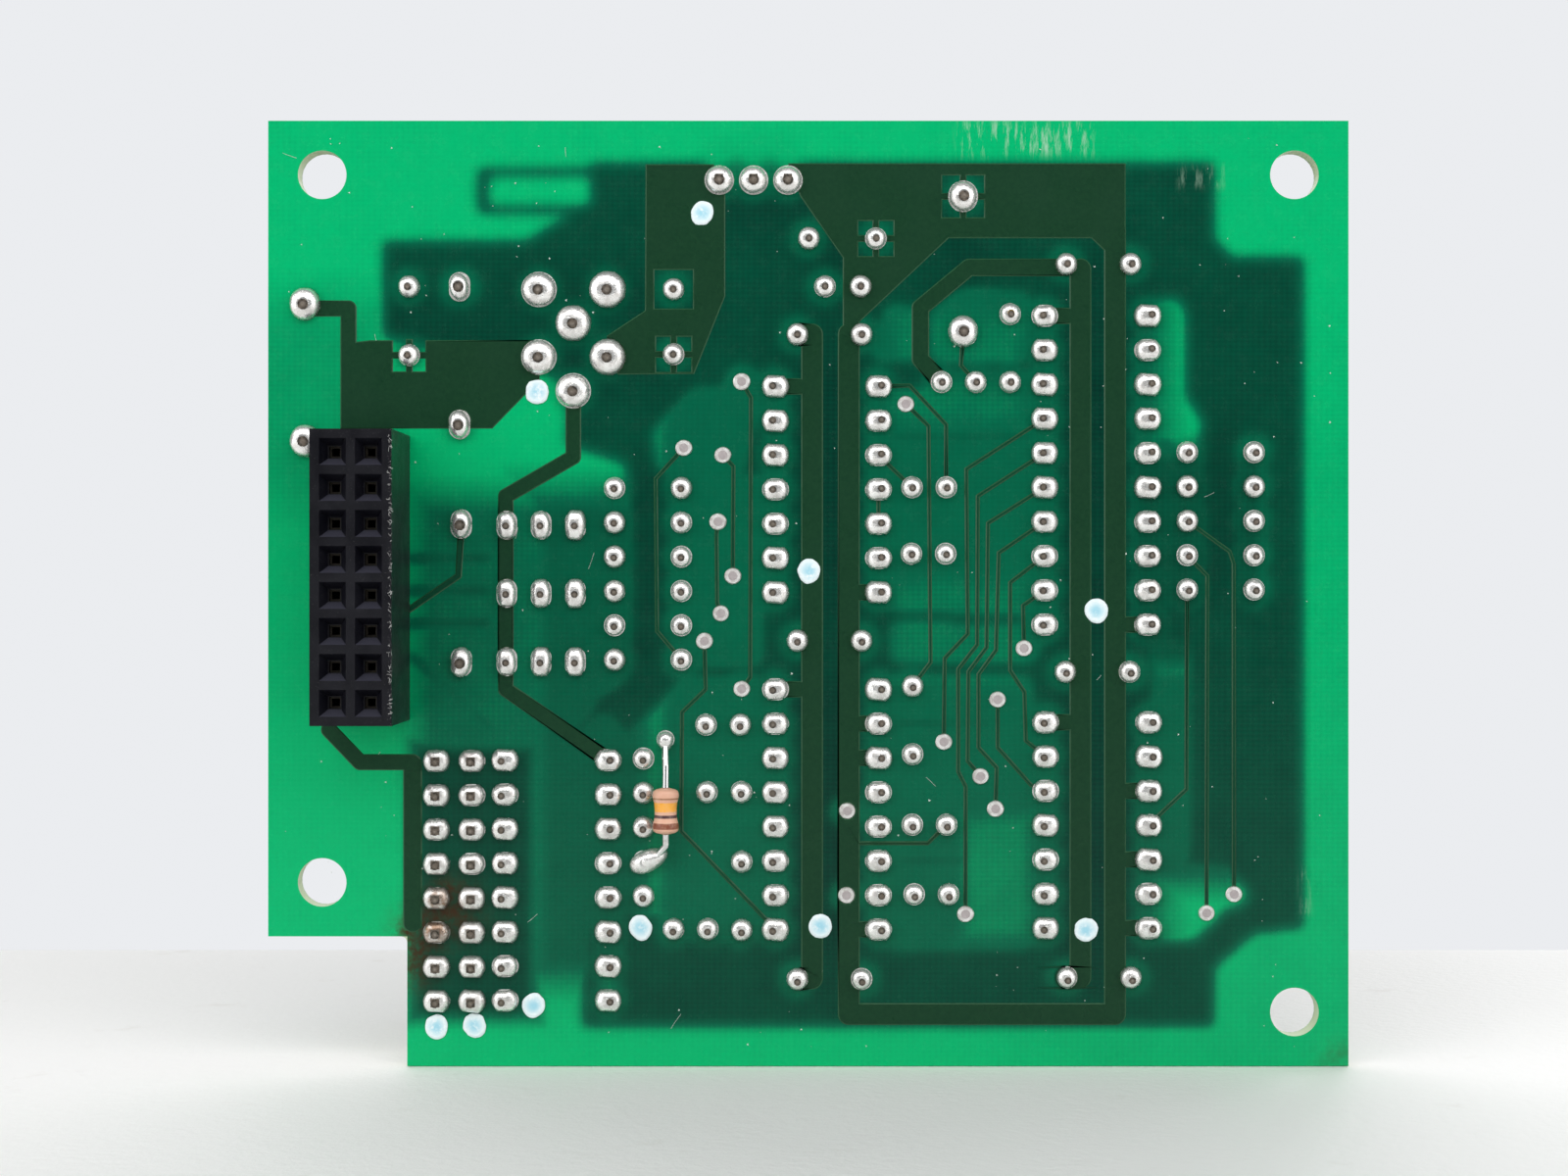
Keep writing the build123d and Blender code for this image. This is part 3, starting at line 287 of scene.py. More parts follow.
def storeDistance(tree, mesh, radius, axes=(1.0, 1.0, 1.0)):
    # how far each point is from the middle, as a share of the radius
    here = addNode(tree, "GeometryNodeInputPosition").outputs[0]
    kept = vectorMaths(tree, "MULTIPLY", {0: here, 1: axes})
    far = addNode(tree, "ShaderNodeVectorMath", {0: kept}, operation="LENGTH").outputs["Value"]
    return storeNumber(tree, mesh, "fromMiddle", maths(tree, "DIVIDE", far, radius))


def randomNumber(tree, low, high, seed):
    inputs = {"Min": low, "Max": high, "Seed": seed}
    return addNode(tree, "FunctionNodeRandomValue", inputs, data_type="FLOAT").outputs[1]


def spinBy(tree, x, y, z):
    return addNode(tree, "FunctionNodeEulerToRotation", {0: vectorOf(tree, x, y, z)}).outputs[0]


def copyToPoints(tree, points, piece, spin, scale=(1.0, 1.0, 1.0)):
    inputs = {"Points": points, "Instance": piece, "Rotation": spin, "Scale": scale}
    return addNode(tree, "GeometryNodeInstanceOnPoints", inputs).outputs[0]


def makeRagged(tree, mesh, size, detail, amount, axes=(1.0, 1.0, 1.0)):
    # size is the width of one ripple, in millimetres
    ripple = addNode(tree, "ShaderNodeTexNoise", {"Scale": 1.0 / (size * mm), "Detail": detail})
    moved = vectorMaths(tree, "SUBTRACT", {0: ripple.outputs["Color"], 1: (0.5, 0.5, 0.5)})
    moved = vectorMaths(tree, "MULTIPLY", {0: moved, 1: axes})
    moved = vectorMaths(tree, "SCALE", {0: moved, "Scale": amount})
    return changeMesh(tree, "SetPosition", mesh, {"Offset": moved})


def curveNode(tree, factor, stops):
    node = addNode(tree, "ShaderNodeFloatCurve", {"Value": factor})
    points = node.mapping.curves[0].points
    for i, (x, y) in enumerate(stops):
        if i < 2:
            points[i].location = (x, y)
        else:
            points.new(x, y)
    node.mapping.update()
    return node.outputs[0]


# camera, table and light

viewSizes = {"x": -37.8, "z": 0.4, "away": 180.0, "lens": 55.8}

camData = bpy.data.cameras.new("camera")
camData.sensor_width = 36.0
camData.lens = viewSizes["lens"]
camData.clip_start = 0.005
camera = addObject("camera", camData)
camera.location = (viewSizes["x"] * mm, -viewSizes["away"] * mm, viewSizes["z"] * mm)
camera.rotation_euler = (math.pi / 2, 0, 0)
bpy.context.scene.camera = camera
bpy.context.scene.view_settings.view_transform = "Standard"


stageSizes = {
    "side": 0.5, "front": -0.32, "back": 0.06, "thick": 0.02, "round": 0.002, "gap": 0.00005,
}


def makeStage():
    # a pale table whose rounded back edge shows a little behind the board
    side, front, back = stageSizes["side"], stageSizes["front"], stageSizes["back"]
    floorZ = boardLow.z - stageSizes["gap"]
    work = bmesh.new()
    corners = [(-side, front), (side, front), (side, back), (-side, back)]
    top = work.faces.new([work.verts.new((x, y, floorZ)) for x, y in corners])
    lower = bmesh.ops.extrude_face_region(work, geom=[top])["geom"]
    lowerVerts = [v for v in lower if isinstance(v, bmesh.types.BMVert)]
    bmesh.ops.translate(work, verts=lowerVerts, vec=(0, 0, -stageSizes["thick"]))
    bmesh.ops.recalc_face_normals(work, faces=work.faces[:])
    bmesh.ops.bevel(
        work, geom=work.edges[:], offset=stageSizes["round"], segments=4, affect="EDGES", profile=0.5,
    )
    data = meshFrom(work, "paleTable")
    table = addObject("paleTable", data)
    pale = Finish("paleTable", roughness=0.55)
    grain = pale.noise(0.9, 4.0, 0.6)
    marks = remap(pale.tree, pale.noise(6.0, 6.0, 0.7), 0.62, 0.8)
    pale.mix(marks, (0.93, 0.925, 0.91), (0.84, 0.82, 0.79))
    pale.bump(grain, 0.35, 0.25)
    data.materials.append(pale.material)


# each softbox has its place, its two sides and its power
softboxes = {
    "softboxAbove": ((-0.04, -0.36, 0.34), (0.75, 0.3), 1.65),
    "softboxLeft": ((-0.46, -0.27, 0.10), (0.35, 0.5), 1.1),
    "softboxRight": ((0.40, -0.28, 0.12), (0.35, 0.5), 0.9),
    "softboxBack": ((-0.16, 0.36, 0.3), (0.7, 0.4), 1.3),
    "softboxBackLow": ((0.24, 0.34, 0.1), (0.3, 0.4), 0.7),
}


def addSoftbox(name, where, size, power):
    data = bpy.data.lights.new(name, "AREA")
    data.shape = "RECTANGLE"
    data.size, data.size_y = size
    data.energy = power
    lamp = addObject(name, data)
    lamp.location = where
    target = Vector((viewSizes["x"] * mm, 0, 0))
    lamp.rotation_euler = (target - Vector(where)).to_track_quat("-Z", "Y").to_euler()
    lamp.visible_camera = False


makeStage()
for name, settings in softboxes.items():
    addSoftbox(name, *settings)
world = bpy.data.worlds.new("room")
world.use_nodes = True
roomLight = world.node_tree.nodes["Background"]
roomLight.inputs[0].default_value = (0.93, 0.96, 1.0, 1)
roomLight.inputs[1].default_value = 0.2
# the room lights the board softly, and is seen as a pale wall
paleWall = addNode(world.node_tree, "ShaderNodeBackground", {0: (0.83, 0.845, 0.87, 1), 1: 1.0})
seen = addNode(world.node_tree, "ShaderNodeLightPath")
eitherWall = addNode(
    world.node_tree, "ShaderNodeMixShader",
    {0: seen.outputs["Is Camera Ray"], 1: roomLight.outputs[0], 2: paleWall.outputs[0]},
)
world.node_tree.links.new(eitherWall.outputs[0], world.node_tree.nodes["World Output"].inputs[0])
bpy.context.scene.world = world
print("stage ready")


# laminate and its two lacquer coats

coatSizes = {
    "cell": 0.3, "backCell": 0.42, "lift": 0.012, "holeInset": 4.0, "holeRadius": 1.8,
    "notchWidth": 10.3, "notchHeight": 9.6, "shadeBlur": 0.42, "overPad": 0.15,
}
rasterStep = 0.2
wideCells = int(round((boardHigh.x - boardLow.x) / mm / rasterStep)) + 1
highCells = int(round((boardHigh.z - boardLow.z) / mm / rasterStep)) + 1


def copperMap(names, side):
    # one where a ray from outside meets copper on that side of the board, zero elsewhere
    verts, faces = [], []
    for name in names:
        data = nodes[name].data
        start = len(verts)
        verts += [v.co.copy() for v in data.vertices]
        faces += [[start + i for i in p.vertices] for p in data.polygons]
    tree = BVHTree.FromPolygons(verts, faces)
    surface = boardLow.y if side < 0 else boardHigh.y
    field = np.zeros((highCells, wideCells))
    aim = Vector((0, -side, 0))
    for row in range(highCells):
        z = boardLow.z + row * rasterStep * mm
        for column in range(wideCells):
            origin = Vector((boardLow.x + column * rasterStep * mm, surface + side * 0.0005, z))
            if tree.ray_cast(origin, aim, 0.0006)[0]:
                field[row, column] = 1.0
    return field


def soften(field, spread):
    # spread in millimetres
    reach = max(1, int(round(3 * spread / rasterStep)))
    kernel = np.exp(-0.5 * (np.arange(-reach, reach + 1) * rasterStep / spread) ** 2)
    kernel /= kernel.sum()
    padded = np.pad(field, reach, mode="edge")
    rows = np.apply_along_axis(lambda line: np.convolve(line, kernel, "valid"), 1, padded)
    return np.apply_along_axis(lambda line: np.convolve(line, kernel, "valid"), 0, rows)


gridX, gridZ = np.meshgrid(np.arange(wideCells) * rasterStep, np.arange(highCells) * rasterStep)


def softBox(x0, z0, x1, z1, edge):
    # one inside a box on the board, falling to zero over edge, in millimetres
    away = np.maximum(np.maximum(x0 - gridX, gridX - x1), np.maximum(z0 - gridZ, gridZ - z1))
    return np.clip(0.5 - away / edge, 0, 1)


def softSpot(x, z, radius):
    return np.exp(-((gridX - x) ** 2 + (gridZ - z) ** 2) / (radius * radius))


print("reading the copper")
backCopper = copperMap(["component_side_tracks", "component_side_pads"], 1)
frontCopper = copperMap(["solder_side_tracks", "solder_side_pads"], -1)
# what stands close behind the laminate takes some light too, and this is painted as shade
standing = [n for n in nodes if n.endswith("_body") and n != "patch_resistor_body"]
standing += [f"trimmer_{i}_housing" for i in (1, 2, 3)] + [
    "output_header_base", "power_inlet_base", "bypass_capacitors", "small_capacitors", "film_capacitors",
    "electrolytic_can", "resistor_network", "small_resistor_bodies", "plastic_diode", "power_diodes",
]
behind = np.zeros_like(backCopper)
for name in standing:
    for low, high in looseParts(name):
        x0, x1 = (low.x - boardLow.x) / mm, (high.x - boardLow.x) / mm
        z0, z1 = (low.z - boardLow.z) / mm, (high.z - boardLow.z) / mm
        behind = np.maximum(behind, softBox(x0, z0, x1, z1, 2.2))
# painted shade where parts stand close together over the right two thirds and little light comes round them,
# with milder painted shade in a few other places, such as the lower right: how dark, then left, low, right, high
# and soft edge in millimetres
crowdShadeBoxes = [
    (0.57, 28.0, 4.0, 67.0, 63.0, 4.0), (0.66, 19.0, 6.0, 29.0, 43.0, 4.0),
    (0.84, 10.6, 3.5, 20.0, 24.0, 2.0), (0.5, 10.6, 22.0, 22.0, 42.5, 3.0),
    (0.76, 63.0, 29.0, 74.5, 46.0, 3.0), (0.6, 63.0, 13.0, 72.0, 30.0, 3.0),
    (0.24, -4.0, 42.0, 9.0, 57.0, 5.0), (0.09, 55.0, -9.0, 90.0, 52.0, 14.0),
]
# painted light: the shade is lifted where light comes through gaps between parts; how much, then a box as above
paintedLightGaps = [
    (0.34, 51.5, 9.5, 56.4, 18.4, 1.6), (0.2, 46.0, 28.0, 56.0, 36.0, 2.0), (0.2, 46.0, 47.5, 56.0, 56.0, 2.0),
]
crowdShade = np.zeros_like(backCopper)
for dark, *box in crowdShadeBoxes:
    crowdShade = np.maximum(crowdShade, dark * softBox(*box))
for light, *box in paintedLightGaps:
    crowdShade *= 1.0 - light * softBox(*box)
# painted shade from light blocked behind the laminate: the copper of the far side and the parts standing there
# darken the green
shadeFront = 0.84 * soften(backCopper, coatSizes["shadeBlur"]) + 0.1 * soften(behind, 1.2)
shadeFront = np.maximum(shadeFront, crowdShade)
# the component side gets the same painted shade from the copper of the solder side
shadeBack = 0.8 * soften(frontCopper, coatSizes["shadeBlur"])
# burnt flux: strength, x, z and radius
stainSpots = [
    (1.3, 11.1, 9.8, 1.7), (1.4, 13.4, 12.2, 1.5), (0.8, 10.9, 7.0, 1.5), (0.5, 14.2, 11.2, 2.2),
    (0.4, 79.4, 0.4, 1.6),
]
stainFront = sum(strength * softSpot(*spot) for strength, *spot in stainSpots)
# scraped lacquer: strength, then a box
scrapeBoxes = [
    (1.0, 51.2, 67.6, 61.0, 69.9, 0.7), (0.5, 67.6, 65.2, 70.6, 66.4, 0.8), (0.6, 76.6, 11.4, 77.0, 14.6, 0.6),
]
scrapeFront = sum(strength * softBox(*box) for strength, *box in scrapeBoxes)


def sample(field, x, z):
    column = np.clip(x / rasterStep, 0, wideCells - 1.001)
    row = np.clip(z / rasterStep, 0, highCells - 1.001)
    c0, r0 = column.astype(int), row.astype(int)
    fc, fr = column - c0, row - r0
    near = field[r0, c0] * (1 - fc) + field[r0, c0 + 1] * fc
    far = field[r0 + 1, c0] * (1 - fc) + field[r0 + 1, c0 + 1] * fc
    return near * (1 - fr) + far * fr


def evenLines(stops, cell):
    parts = []
    for a, b in zip(stops, stops[1:]):
        count = max(1, int(round((b - a) / cell)))
        parts += [a + (b - a) * i / count for i in range(count)]
    return np.array(parts + [stops[-1]])


def lacquerSheet(name, side, cell, fields, drillParts, material):
    # a thin coat over one face, open at the fixing holes and under the pads of the component side
    width = (boardHigh.x - boardLow.x) / mm
    height = (boardHigh.z - boardLow.z) / mm
    sizes = coatSizes
    xs = evenLines([0, sizes["notchWidth"], width], cell)
    zs = evenLines([0, sizes["notchHeight"], height], cell)
    gridAcross, gridUp = np.meshgrid(xs, zs)
    middleX = (gridAcross[:-1, :-1] + gridAcross[1:, 1:]) / 2
    middleZ = (gridUp[:-1, :-1] + gridUp[1:, 1:]) / 2
    kept = ~((middleX < sizes["notchWidth"]) & (middleZ < sizes["notchHeight"]))
    inset = sizes["holeInset"]
    corners = [
        (inset, height - inset), (width - inset, height - inset),
        (inset, sizes["notchHeight"] + inset), (width - inset, inset),
    ]
    holes = [(x, z, sizes["holeRadius"]) for x, z in corners] + drillParts
    for hx, hz, radius in holes:
        kept &= np.hypot(middleX - hx, middleZ - hz) > radius
    solid = np.zeros((gridAcross.shape[0] + 1, gridAcross.shape[1] + 1), bool)
    solid[1:-1, 1:-1] = kept
    around = solid[:-1, :-1].astype(int) + solid[1:, :-1] + solid[:-1, 1:] + solid[1:, 1:]
    edge = (around > 0) & (around < 4)
    for hx, hz, radius in holes:
        away = np.hypot(gridAcross - hx, gridUp - hz)
        ring = edge & (np.abs(away - radius) < cell)
        scale = np.where(ring, radius / np.maximum(away, 1e-6), 1.0)
        gridAcross = hx + (gridAcross - hx) * scale
        gridUp = hz + (gridUp - hz) * scale
    used = around > 0
    index = -np.ones(gridAcross.shape, int)
    index[used] = np.arange(used.sum())
    px, pz = gridAcross[used], gridUp[used]
    y = -sizes["lift"] * mm if side < 0 else boardHigh.y + sizes["lift"] * mm
    verts = np.stack([boardLow.x + px * mm, np.full_like(px, y), boardLow.z + pz * mm], 1)
    r, c = np.nonzero(kept)
    quad = np.stack([index[r, c], index[r, c + 1], index[r + 1, c + 1], index[r + 1, c]], 1)
    if side > 0:
        quad = quad[:, ::-1]
    data = bpy.data.meshes.new(name)
    data.from_pydata(verts.tolist(), [], quad.tolist())
    # first channel painted shade, second burnt-flux stain, third scraped lacquer
    tone = data.color_attributes.new("paintedShadeAndStains", "FLOAT_COLOR", "POINT")
    colours = np.ones((len(px), 4), np.float32)
    for i, field in enumerate(fields):
        colours[:, i] = np.clip(sample(field, px, pz), 0, 1)
    tone.data.foreach_set("color", colours.ravel())
    data.materials.append(material)
    return makePiece(name, data)


def lacquerFinish():
    coat = Finish("greenLacquer", roughness=0.24, IOR=1.24)
    tree = coat.tree
    split = addNode(tree, "ShaderNodeSeparateColor", {0: coat.attribute("paintedShadeAndStains").outputs["Color"]})
    shade, stain, scrape = split.outputs[0], split.outputs[1], split.outputs[2]
    # the glass cloth shows as a faint weave
    weave = times(tree, coat.axis("X"), 2 * math.pi / (0.42 * mm))
    weft = times(tree, coat.axis("Z"), 2 * math.pi / (0.36 * mm))
    cloth = maths(tree, "ADD", maths(tree, "SINE", weave), maths(tree, "SINE", weft))
    blotch = coat.noise(3.2, 4.0, 0.6)
    fine = coat.noise(0.35, 2.0, 0.5)
    lifted = maths(tree, "ADD", shade, times(tree, maths(tree, "SUBTRACT", blotch, 0.5), 0.16))
    lifted = maths(tree, "ADD", lifted, times(tree, cloth, -0.018), clamp=True)
    # painted shade: the green runs from lit emerald through mid green to deep shaded green as the first channel
    # rises
    deep = blendColours(tree, remap(tree, lifted, 0.0, 0.5), (0.0, 0.44, 0.15), (0.0, 0.128, 0.062))
    deep = blendColours(tree, remap(tree, lifted, 0.5, 1.0), deep, (0.0, 0.026, 0.017))
    grain = times(tree, maths(tree, "SUBTRACT", fine, 0.5), 0.16)
    brighter = maths(tree, "ADD", 1.0, grain)
    grey = addNode(tree, "ShaderNodeCombineColor", {0: brighter, 1: brighter, 2: brighter}).outputs[0]
    deep = blendColours(tree, 1.0, deep, grey, "MULTIPLY")
    streaks = remap(tree, coat.noise(0.5, 5.0, 0.7, (1.0, 1.0, 0.16)), 0.5, 0.66)
    bared = times(tree, scrape, streaks, clamp=True)
    deep = blendColours(tree, times(tree, bared, 0.75), deep, (0.42, 0.62, 0.47))
    burnt = times(tree, stain, remap(tree, coat.noise(0.8, 5.0, 0.7), 0.3, 0.6), clamp=True)
    deep = blendColours(tree, burnt, deep, (0.045, 0.022, 0.008))
    coat.colour(deep)
    coat.rough(remap(tree, coat.noise(1.1, 5.0, 0.7), 0.35, 0.75, 0.16, 0.36))
    coat.bump(maths(tree, "ADD", times(tree, cloth, 0.12), blotch), 0.12, 0.05)
    return coat


lacquer = lacquerFinish()
landParts = []
for low, high in looseParts("component_side_pads"):
    radius = (high.x - low.x) / 2 / mm - coatSizes["overPad"]
    x, z = (low.x + high.x) / 2 / mm - boardLow.x / mm, (low.z + high.z) / 2 / mm - boardLow.z / mm
    landParts.append((x, z, radius))
frontFields = (shadeFront, stainFront, scrapeFront)
backFields = (shadeBack, np.zeros_like(shadeBack), np.zeros_like(shadeBack))
lacquerSheet("lacquerSolderSide", -1, coatSizes["cell"], frontFields, [], lacquer.material)
lacquerSheet("lacquerComponentSide", 1, coatSizes["backCell"], backFields, landParts, lacquer.material)
print("lacquer coats ready")

core = Finish("glassLaminate", roughness=0.5)
fibres = core.noise(0.5, 4.0, 0.6, (0.15, 1.6, 0.15))
core.mix(fibres, (0.42, 0.55, 0.33), (0.62, 0.68, 0.5))
core.bump(fibres, 0.4, 0.06)
finishNode(["board_laminate"], core)


# copper under lacquer

trackSizes = {"slope": 0.085, "foot": 0.012, "cover": 0.006, "thin": 0.62}


def trackFinish():
    coat = Finish("lacqueredCopper", roughness=0.3, IOR=1.24)
    tree = coat.tree
    mottled = coat.noise(0.28, 4.0, 0.65)
    broad = coat.noise(4.0, 3.0, 0.5)
    tone = blendColours(tree, remap(tree, mottled, 0.3, 0.72), (0.006, 0.038, 0.016), (0.011, 0.052, 0.021))
    coat.mix(times(tree, broad, 0.4), tone, (0.004, 0.044, 0.02))
    coat.rough(remap(tree, broad, 0.3, 0.7, 0.24, 0.36))
    coat.bump(broad, 0.15, 0.05)
    # the sloped edge faces of the tracks are coloured lighter than the tops: a painted highlight along the
    # lacquer slope, mottled
    edge = Finish("lacqueredEdgeHighlight", roughness=0.28, IOR=1.36)
    mottleNoise = edge.noise(0.3, 3.0, 0.6)
    edge.mix(mottleNoise, (0.006, 0.062, 0.027), (0.03, 0.105, 0.04))
    edge.bump(mottleNoise, 0.2, 0.03)
    thin = Finish("thinTrack", roughness=0.3, IOR=1.24)
    faint = thin.noise(0.5, 4.0, 0.6)
    thin.mix(faint, (0.001, 0.046, 0.022), (0.004, 0.066, 0.029))
    thin.bump(faint, 0.2, 0.03)
    return coat, edge, thin


def markThinTracks(work, layer):
    # a net whose area is small for its outline is a signal track
    left = set(work.faces)
    while left:
        net, queue = [], [left.pop()]
        while queue:
            face = queue.pop()
            net.append(face)
            for edge in face.edges:
                for other in edge.link_faces:
                    if other in left:
                        left.remove(other)
                        queue.append(other)
        outline = sum(edge.calc_length() for face in net for edge in face.edges if edge.is_boundary)
        area = sum(face.calc_area() for face in net)
        for face in net:
            face[layer] = int(2 * area / outline < trackSizes["thin"] * mm)


def coatedTracks(name, nodeName, side, finishes):
    work = bmesh.new()
    work.from_mesh(nodes[nodeName].data)
    bmesh.ops.remove_doubles(work, verts=work.verts, dist=1e-6)
    wallFaces = [f for f in work.faces if f.normal.y * side < 0.9]
    bmesh.ops.delete(work, geom=wallFaces, context="FACES")
    layer = work.faces.layers.int.new("thinTrack")
    markThinTracks(work, layer)
    rim = bmesh.ops.inset_region(
        work, faces=work.faces[:], use_boundary=True, use_even_offset=True,
        thickness=trackSizes["slope"] * mm, depth=0,
    )["faces"]
    outer = boardHigh.y if side > 0 else 0.0
    for face in rim:
        face.material_index = 1
    for face in work.faces:
        if face[layer] and face.material_index == 0:
            face.material_index = 2
    for vert in work.verts:
        vert.co.y += side * trackSizes["cover"] * mm
    for vert in work.verts:
        if vert.is_boundary:
            vert.co.y = outer + side * trackSizes["foot"] * mm
    data = meshFrom(work, name)
    for finish in finishes:
        data.materials.append(finish.material)
    return makePiece(name, data, [nodeName])


coatedFinishes = trackFinish()
coatedTracks("tracksSolderSide", "solder_side_tracks", -1, coatedFinishes)
coatedTracks("tracksComponentSide", "component_side_tracks", 1, coatedFinishes)
print("tracks ready")


# solder

def solderFinish(name, dull=0.0, brown=0.0):
    tin = Finish(name, metallic=0.78)
    tree = tin.tree
    cloud = tin.noise(0.5, 4.0, 0.6)
    greyer = tuple(level - 0.2 * dull for level in (0.72, 0.69, 0.66))
    tone = blendColours(tree, remap(tree, cloud, 0.35, 0.7), (0.97, 0.965, 0.94), greyer)
    if brown:
        near = tin.noise(7.0, 1.0, 0.5)
        # overheated flux is strongest beside one pair of joints
        offX = maths(tree, "SUBTRACT", tin.axis("X"), burntSpot.x)
        offZ = maths(tree, "SUBTRACT", tin.axis("Z"), burntSpot.z)
        nearby = remap(tree, flatDistance(tree, offX, offZ), 1.2 * mm, 3.4 * mm, 1.0, 0.0)
        patchy = remap(tree, tin.noise(0.9, 3.0, 0.6), 0.38, 0.55)
        rosin = times(tree, remap(tree, near, 0.6, 0.68), brown * 0.5)
        burnt = times(tree, nearby, times(tree, patchy, brown * 1.4))
        rosin = maths(tree, "MAXIMUM", rosin, burnt, clamp=True)
        tone = blendColours(tree, rosin, tone, (0.22, 0.1, 0.03))
    tin.colour(tone)
    tin.rough(remap(tree, cloud, 0.3, 0.7, 0.17 + 0.25 * dull, 0.36 + 0.2 * dull))
    tin.bump(tin.noise(0.45, 3.0, 0.6), 0.55, 0.09)
    return tin


burntSpot = place(12.3, 11.2)
brightSolder = solderFinish("solder")
dullSolder = solderFinish("dullSolder", dull=0.9)
tipFinish = Finish("cutLead", roughness=0.42, metallic=0.5)
# the cut end is dull grey-brown in the middle and darkens to near black at its rim and sides: a painted shadow
# ring
tipShadowRing = remap(tipFinish.tree, tipFinish.attribute("fromMiddle").outputs["Fac"], 0.15, 0.75)
cutMetalAndShadow = blendColours(tipFinish.tree, tipShadowRing, (0.3, 0.26, 0.22), (0.03, 0.024, 0.018))
cutSpeck = remap(tipFinish.tree, tipFinish.noise(0.2, 4.0, 0.7), 0.42, 0.6)
tipFinish.mix(cutSpeck, cutMetalAndShadow, (0.16, 0.13, 0.1))
tipFinish.bump(tipFinish.noise(0.12, 2.0), 0.5, 0.05)


def solderTree():
    tree, given, out = newGeometryTree("solderFillet", {
        "Flat share": 0.8, "Rise": 0.95 * mm, "Tip radius": 0.28 * mm, "Tip shift": 0.15 * mm,
        "Tip drop": 0.04 * mm, "Tip out": 0.95 * mm, "Wobble": 0.05 * mm, "Outward": 1.0, "Seed": 1,
        "Solder": None, "Cut lead": None,
    })
    x, y, z = positionParts(tree)
    level = maths(tree, "ADD", z, 0.5)
    width = curveNode(tree, level, [(0, 1), (1, 0.34), (0.333, 0.93), (0.667, 0.73)])
    height = curveNode(tree, level, [(0, 0), (1, 1.0), (0.333, 0.5), (0.667, 0.84)])
    limit = given["Flat share"]
    trimmed = maths(tree, "MINIMUM", maths(tree, "MAXIMUM", y, times(tree, limit, -1.0)), limit)
    # the dome leans towards its lead
    lean = times(tree, times(tree, height, height), 0.12)
    acrossX = maths(tree, "SUBTRACT", times(tree, x, width), lean)
    shape = vectorOf(tree, acrossX, times(tree, trimmed, width), height)
    dome = changeMesh(tree, "SetPosition", cylinderNode(tree, 20, 3), {"Position": shape})
    uneven = times(tree, randomNumber(tree, -1.0, 1.0, given["Seed"]), 0.08)
    turn = maths(tree, "ADD", readNumber(tree, "turn"), uneven)
    spin = spinBy(tree, times(tree, given["Outward"], math.pi / 2), turn, 0.0)
    swell = randomNumber(tree, 0.96, 1.05, given["Seed"])
    halfX = times(tree, readNumber(tree, "halfX"), swell)
    halfZ = times(tree, readNumber(tree, "halfZ"), swell)
    domes = copyToPoints(tree, given["Geometry"], dome, spin, vectorOf(tree, halfX, halfZ, given["Rise"]))
    domes = makeRagged(tree, changeMesh(tree, "RealizeInstances", domes), 0.8, 2.0, given["Wobble"])
    domes = changeMesh(tree, "SetShadeSmooth", domes)
    # the cut end of the lead
    tip = cylinderNode(tree, 10, 1, radius=given["Tip radius"], depth=given["Tip out"])
    tip = storeDistance(tree, tip, given["Tip radius"], (1.0, 1.0, 0.0))
    shift = vectorOf(
        tree, times(tree, given["Tip shift"], -1.0), times(tree, given["Tip drop"], -1.0),
        times(tree, given["Tip out"], 0.5),
    )
    tip = changeMesh(tree, "Transform", tip, {"Translation": shift})
    tip = storeNumber(tree, tip, "cut", 1.0, "FACE")
    tips = copyToPoints(tree, given["Geometry"], tip, spin)
    both = tree.nodes.new("GeometryNodeJoinGeometry")
    tree.links.new(tips, both.inputs[0])
    tree.links.new(domes, both.inputs[0])
    plain = changeMesh(tree, "RealizeInstances", both.outputs[0])
    plain = changeMesh(tree, "SetMaterial", plain, {"Material": given["Solder"]})
    cut = maths(tree, "GREATER_THAN", readNumber(tree, "cut"), 0.5)
    plain = changeMesh(tree, "SetMaterial", plain, {"Selection": cut, "Material": given["Cut lead"]})
    tree.links.new(plain, out)
    return tree


filletTree = solderTree()


def solderJoints(name, nodeName, sizes, finish=brightSolder, side=-1, turnOf=None):
    points, halfX, halfZ, turns = [], [], [], []
    surface = -0.07 * mm if side < 0 else boardHigh.y + 0.07 * mm
    for low, high in looseParts(nodeName):
        points.append(((low.x + high.x) / 2, surface, (low.z + high.z) / 2))
        halfX.append((high.x - low.x) / 2 * sizes["grow"])
        halfZ.append((high.z - low.z) / 2 * sizes["grow"] / sizes["flat"])
        turns.append(turnOf(points[-1]) if turnOf else 0.0)
    values = {
        "Flat share": sizes["flat"], "Rise": sizes["rise"] * mm, "Tip radius": sizes["tip"] * mm,
        "Tip shift": sizes["shift"] * mm, "Tip drop": sizes["drop"] * mm, "Tip out": sizes["out"] * mm,
        "Wobble": sizes["wobble"] * mm, "Outward": 1.0 if side < 0 else -1.0, "Seed": sizes["seed"],
        "Solder": finish.material, "Cut lead": tipFinish.material,
    }
    return bakeTree(
        name, points, filletTree, values, [nodeName],
        attributes={"halfX": halfX, "halfZ": halfZ, "turn": turns},
    )


packageSpans = [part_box(f"ic_{i}_body") for i in range(1, 6)]


def packageTurn(point):
    # leads of a package lean outwards, so the right-hand column is turned round
    for low, high in packageSpans:
        if low.x - 2 * mm < point[0] < high.x + 2 * mm and low.z - 1 * mm < point[2] < high.z + 1 * mm:
            return math.pi if point[0] > (low.x + high.x) / 2 else 0.0
    return 0.0


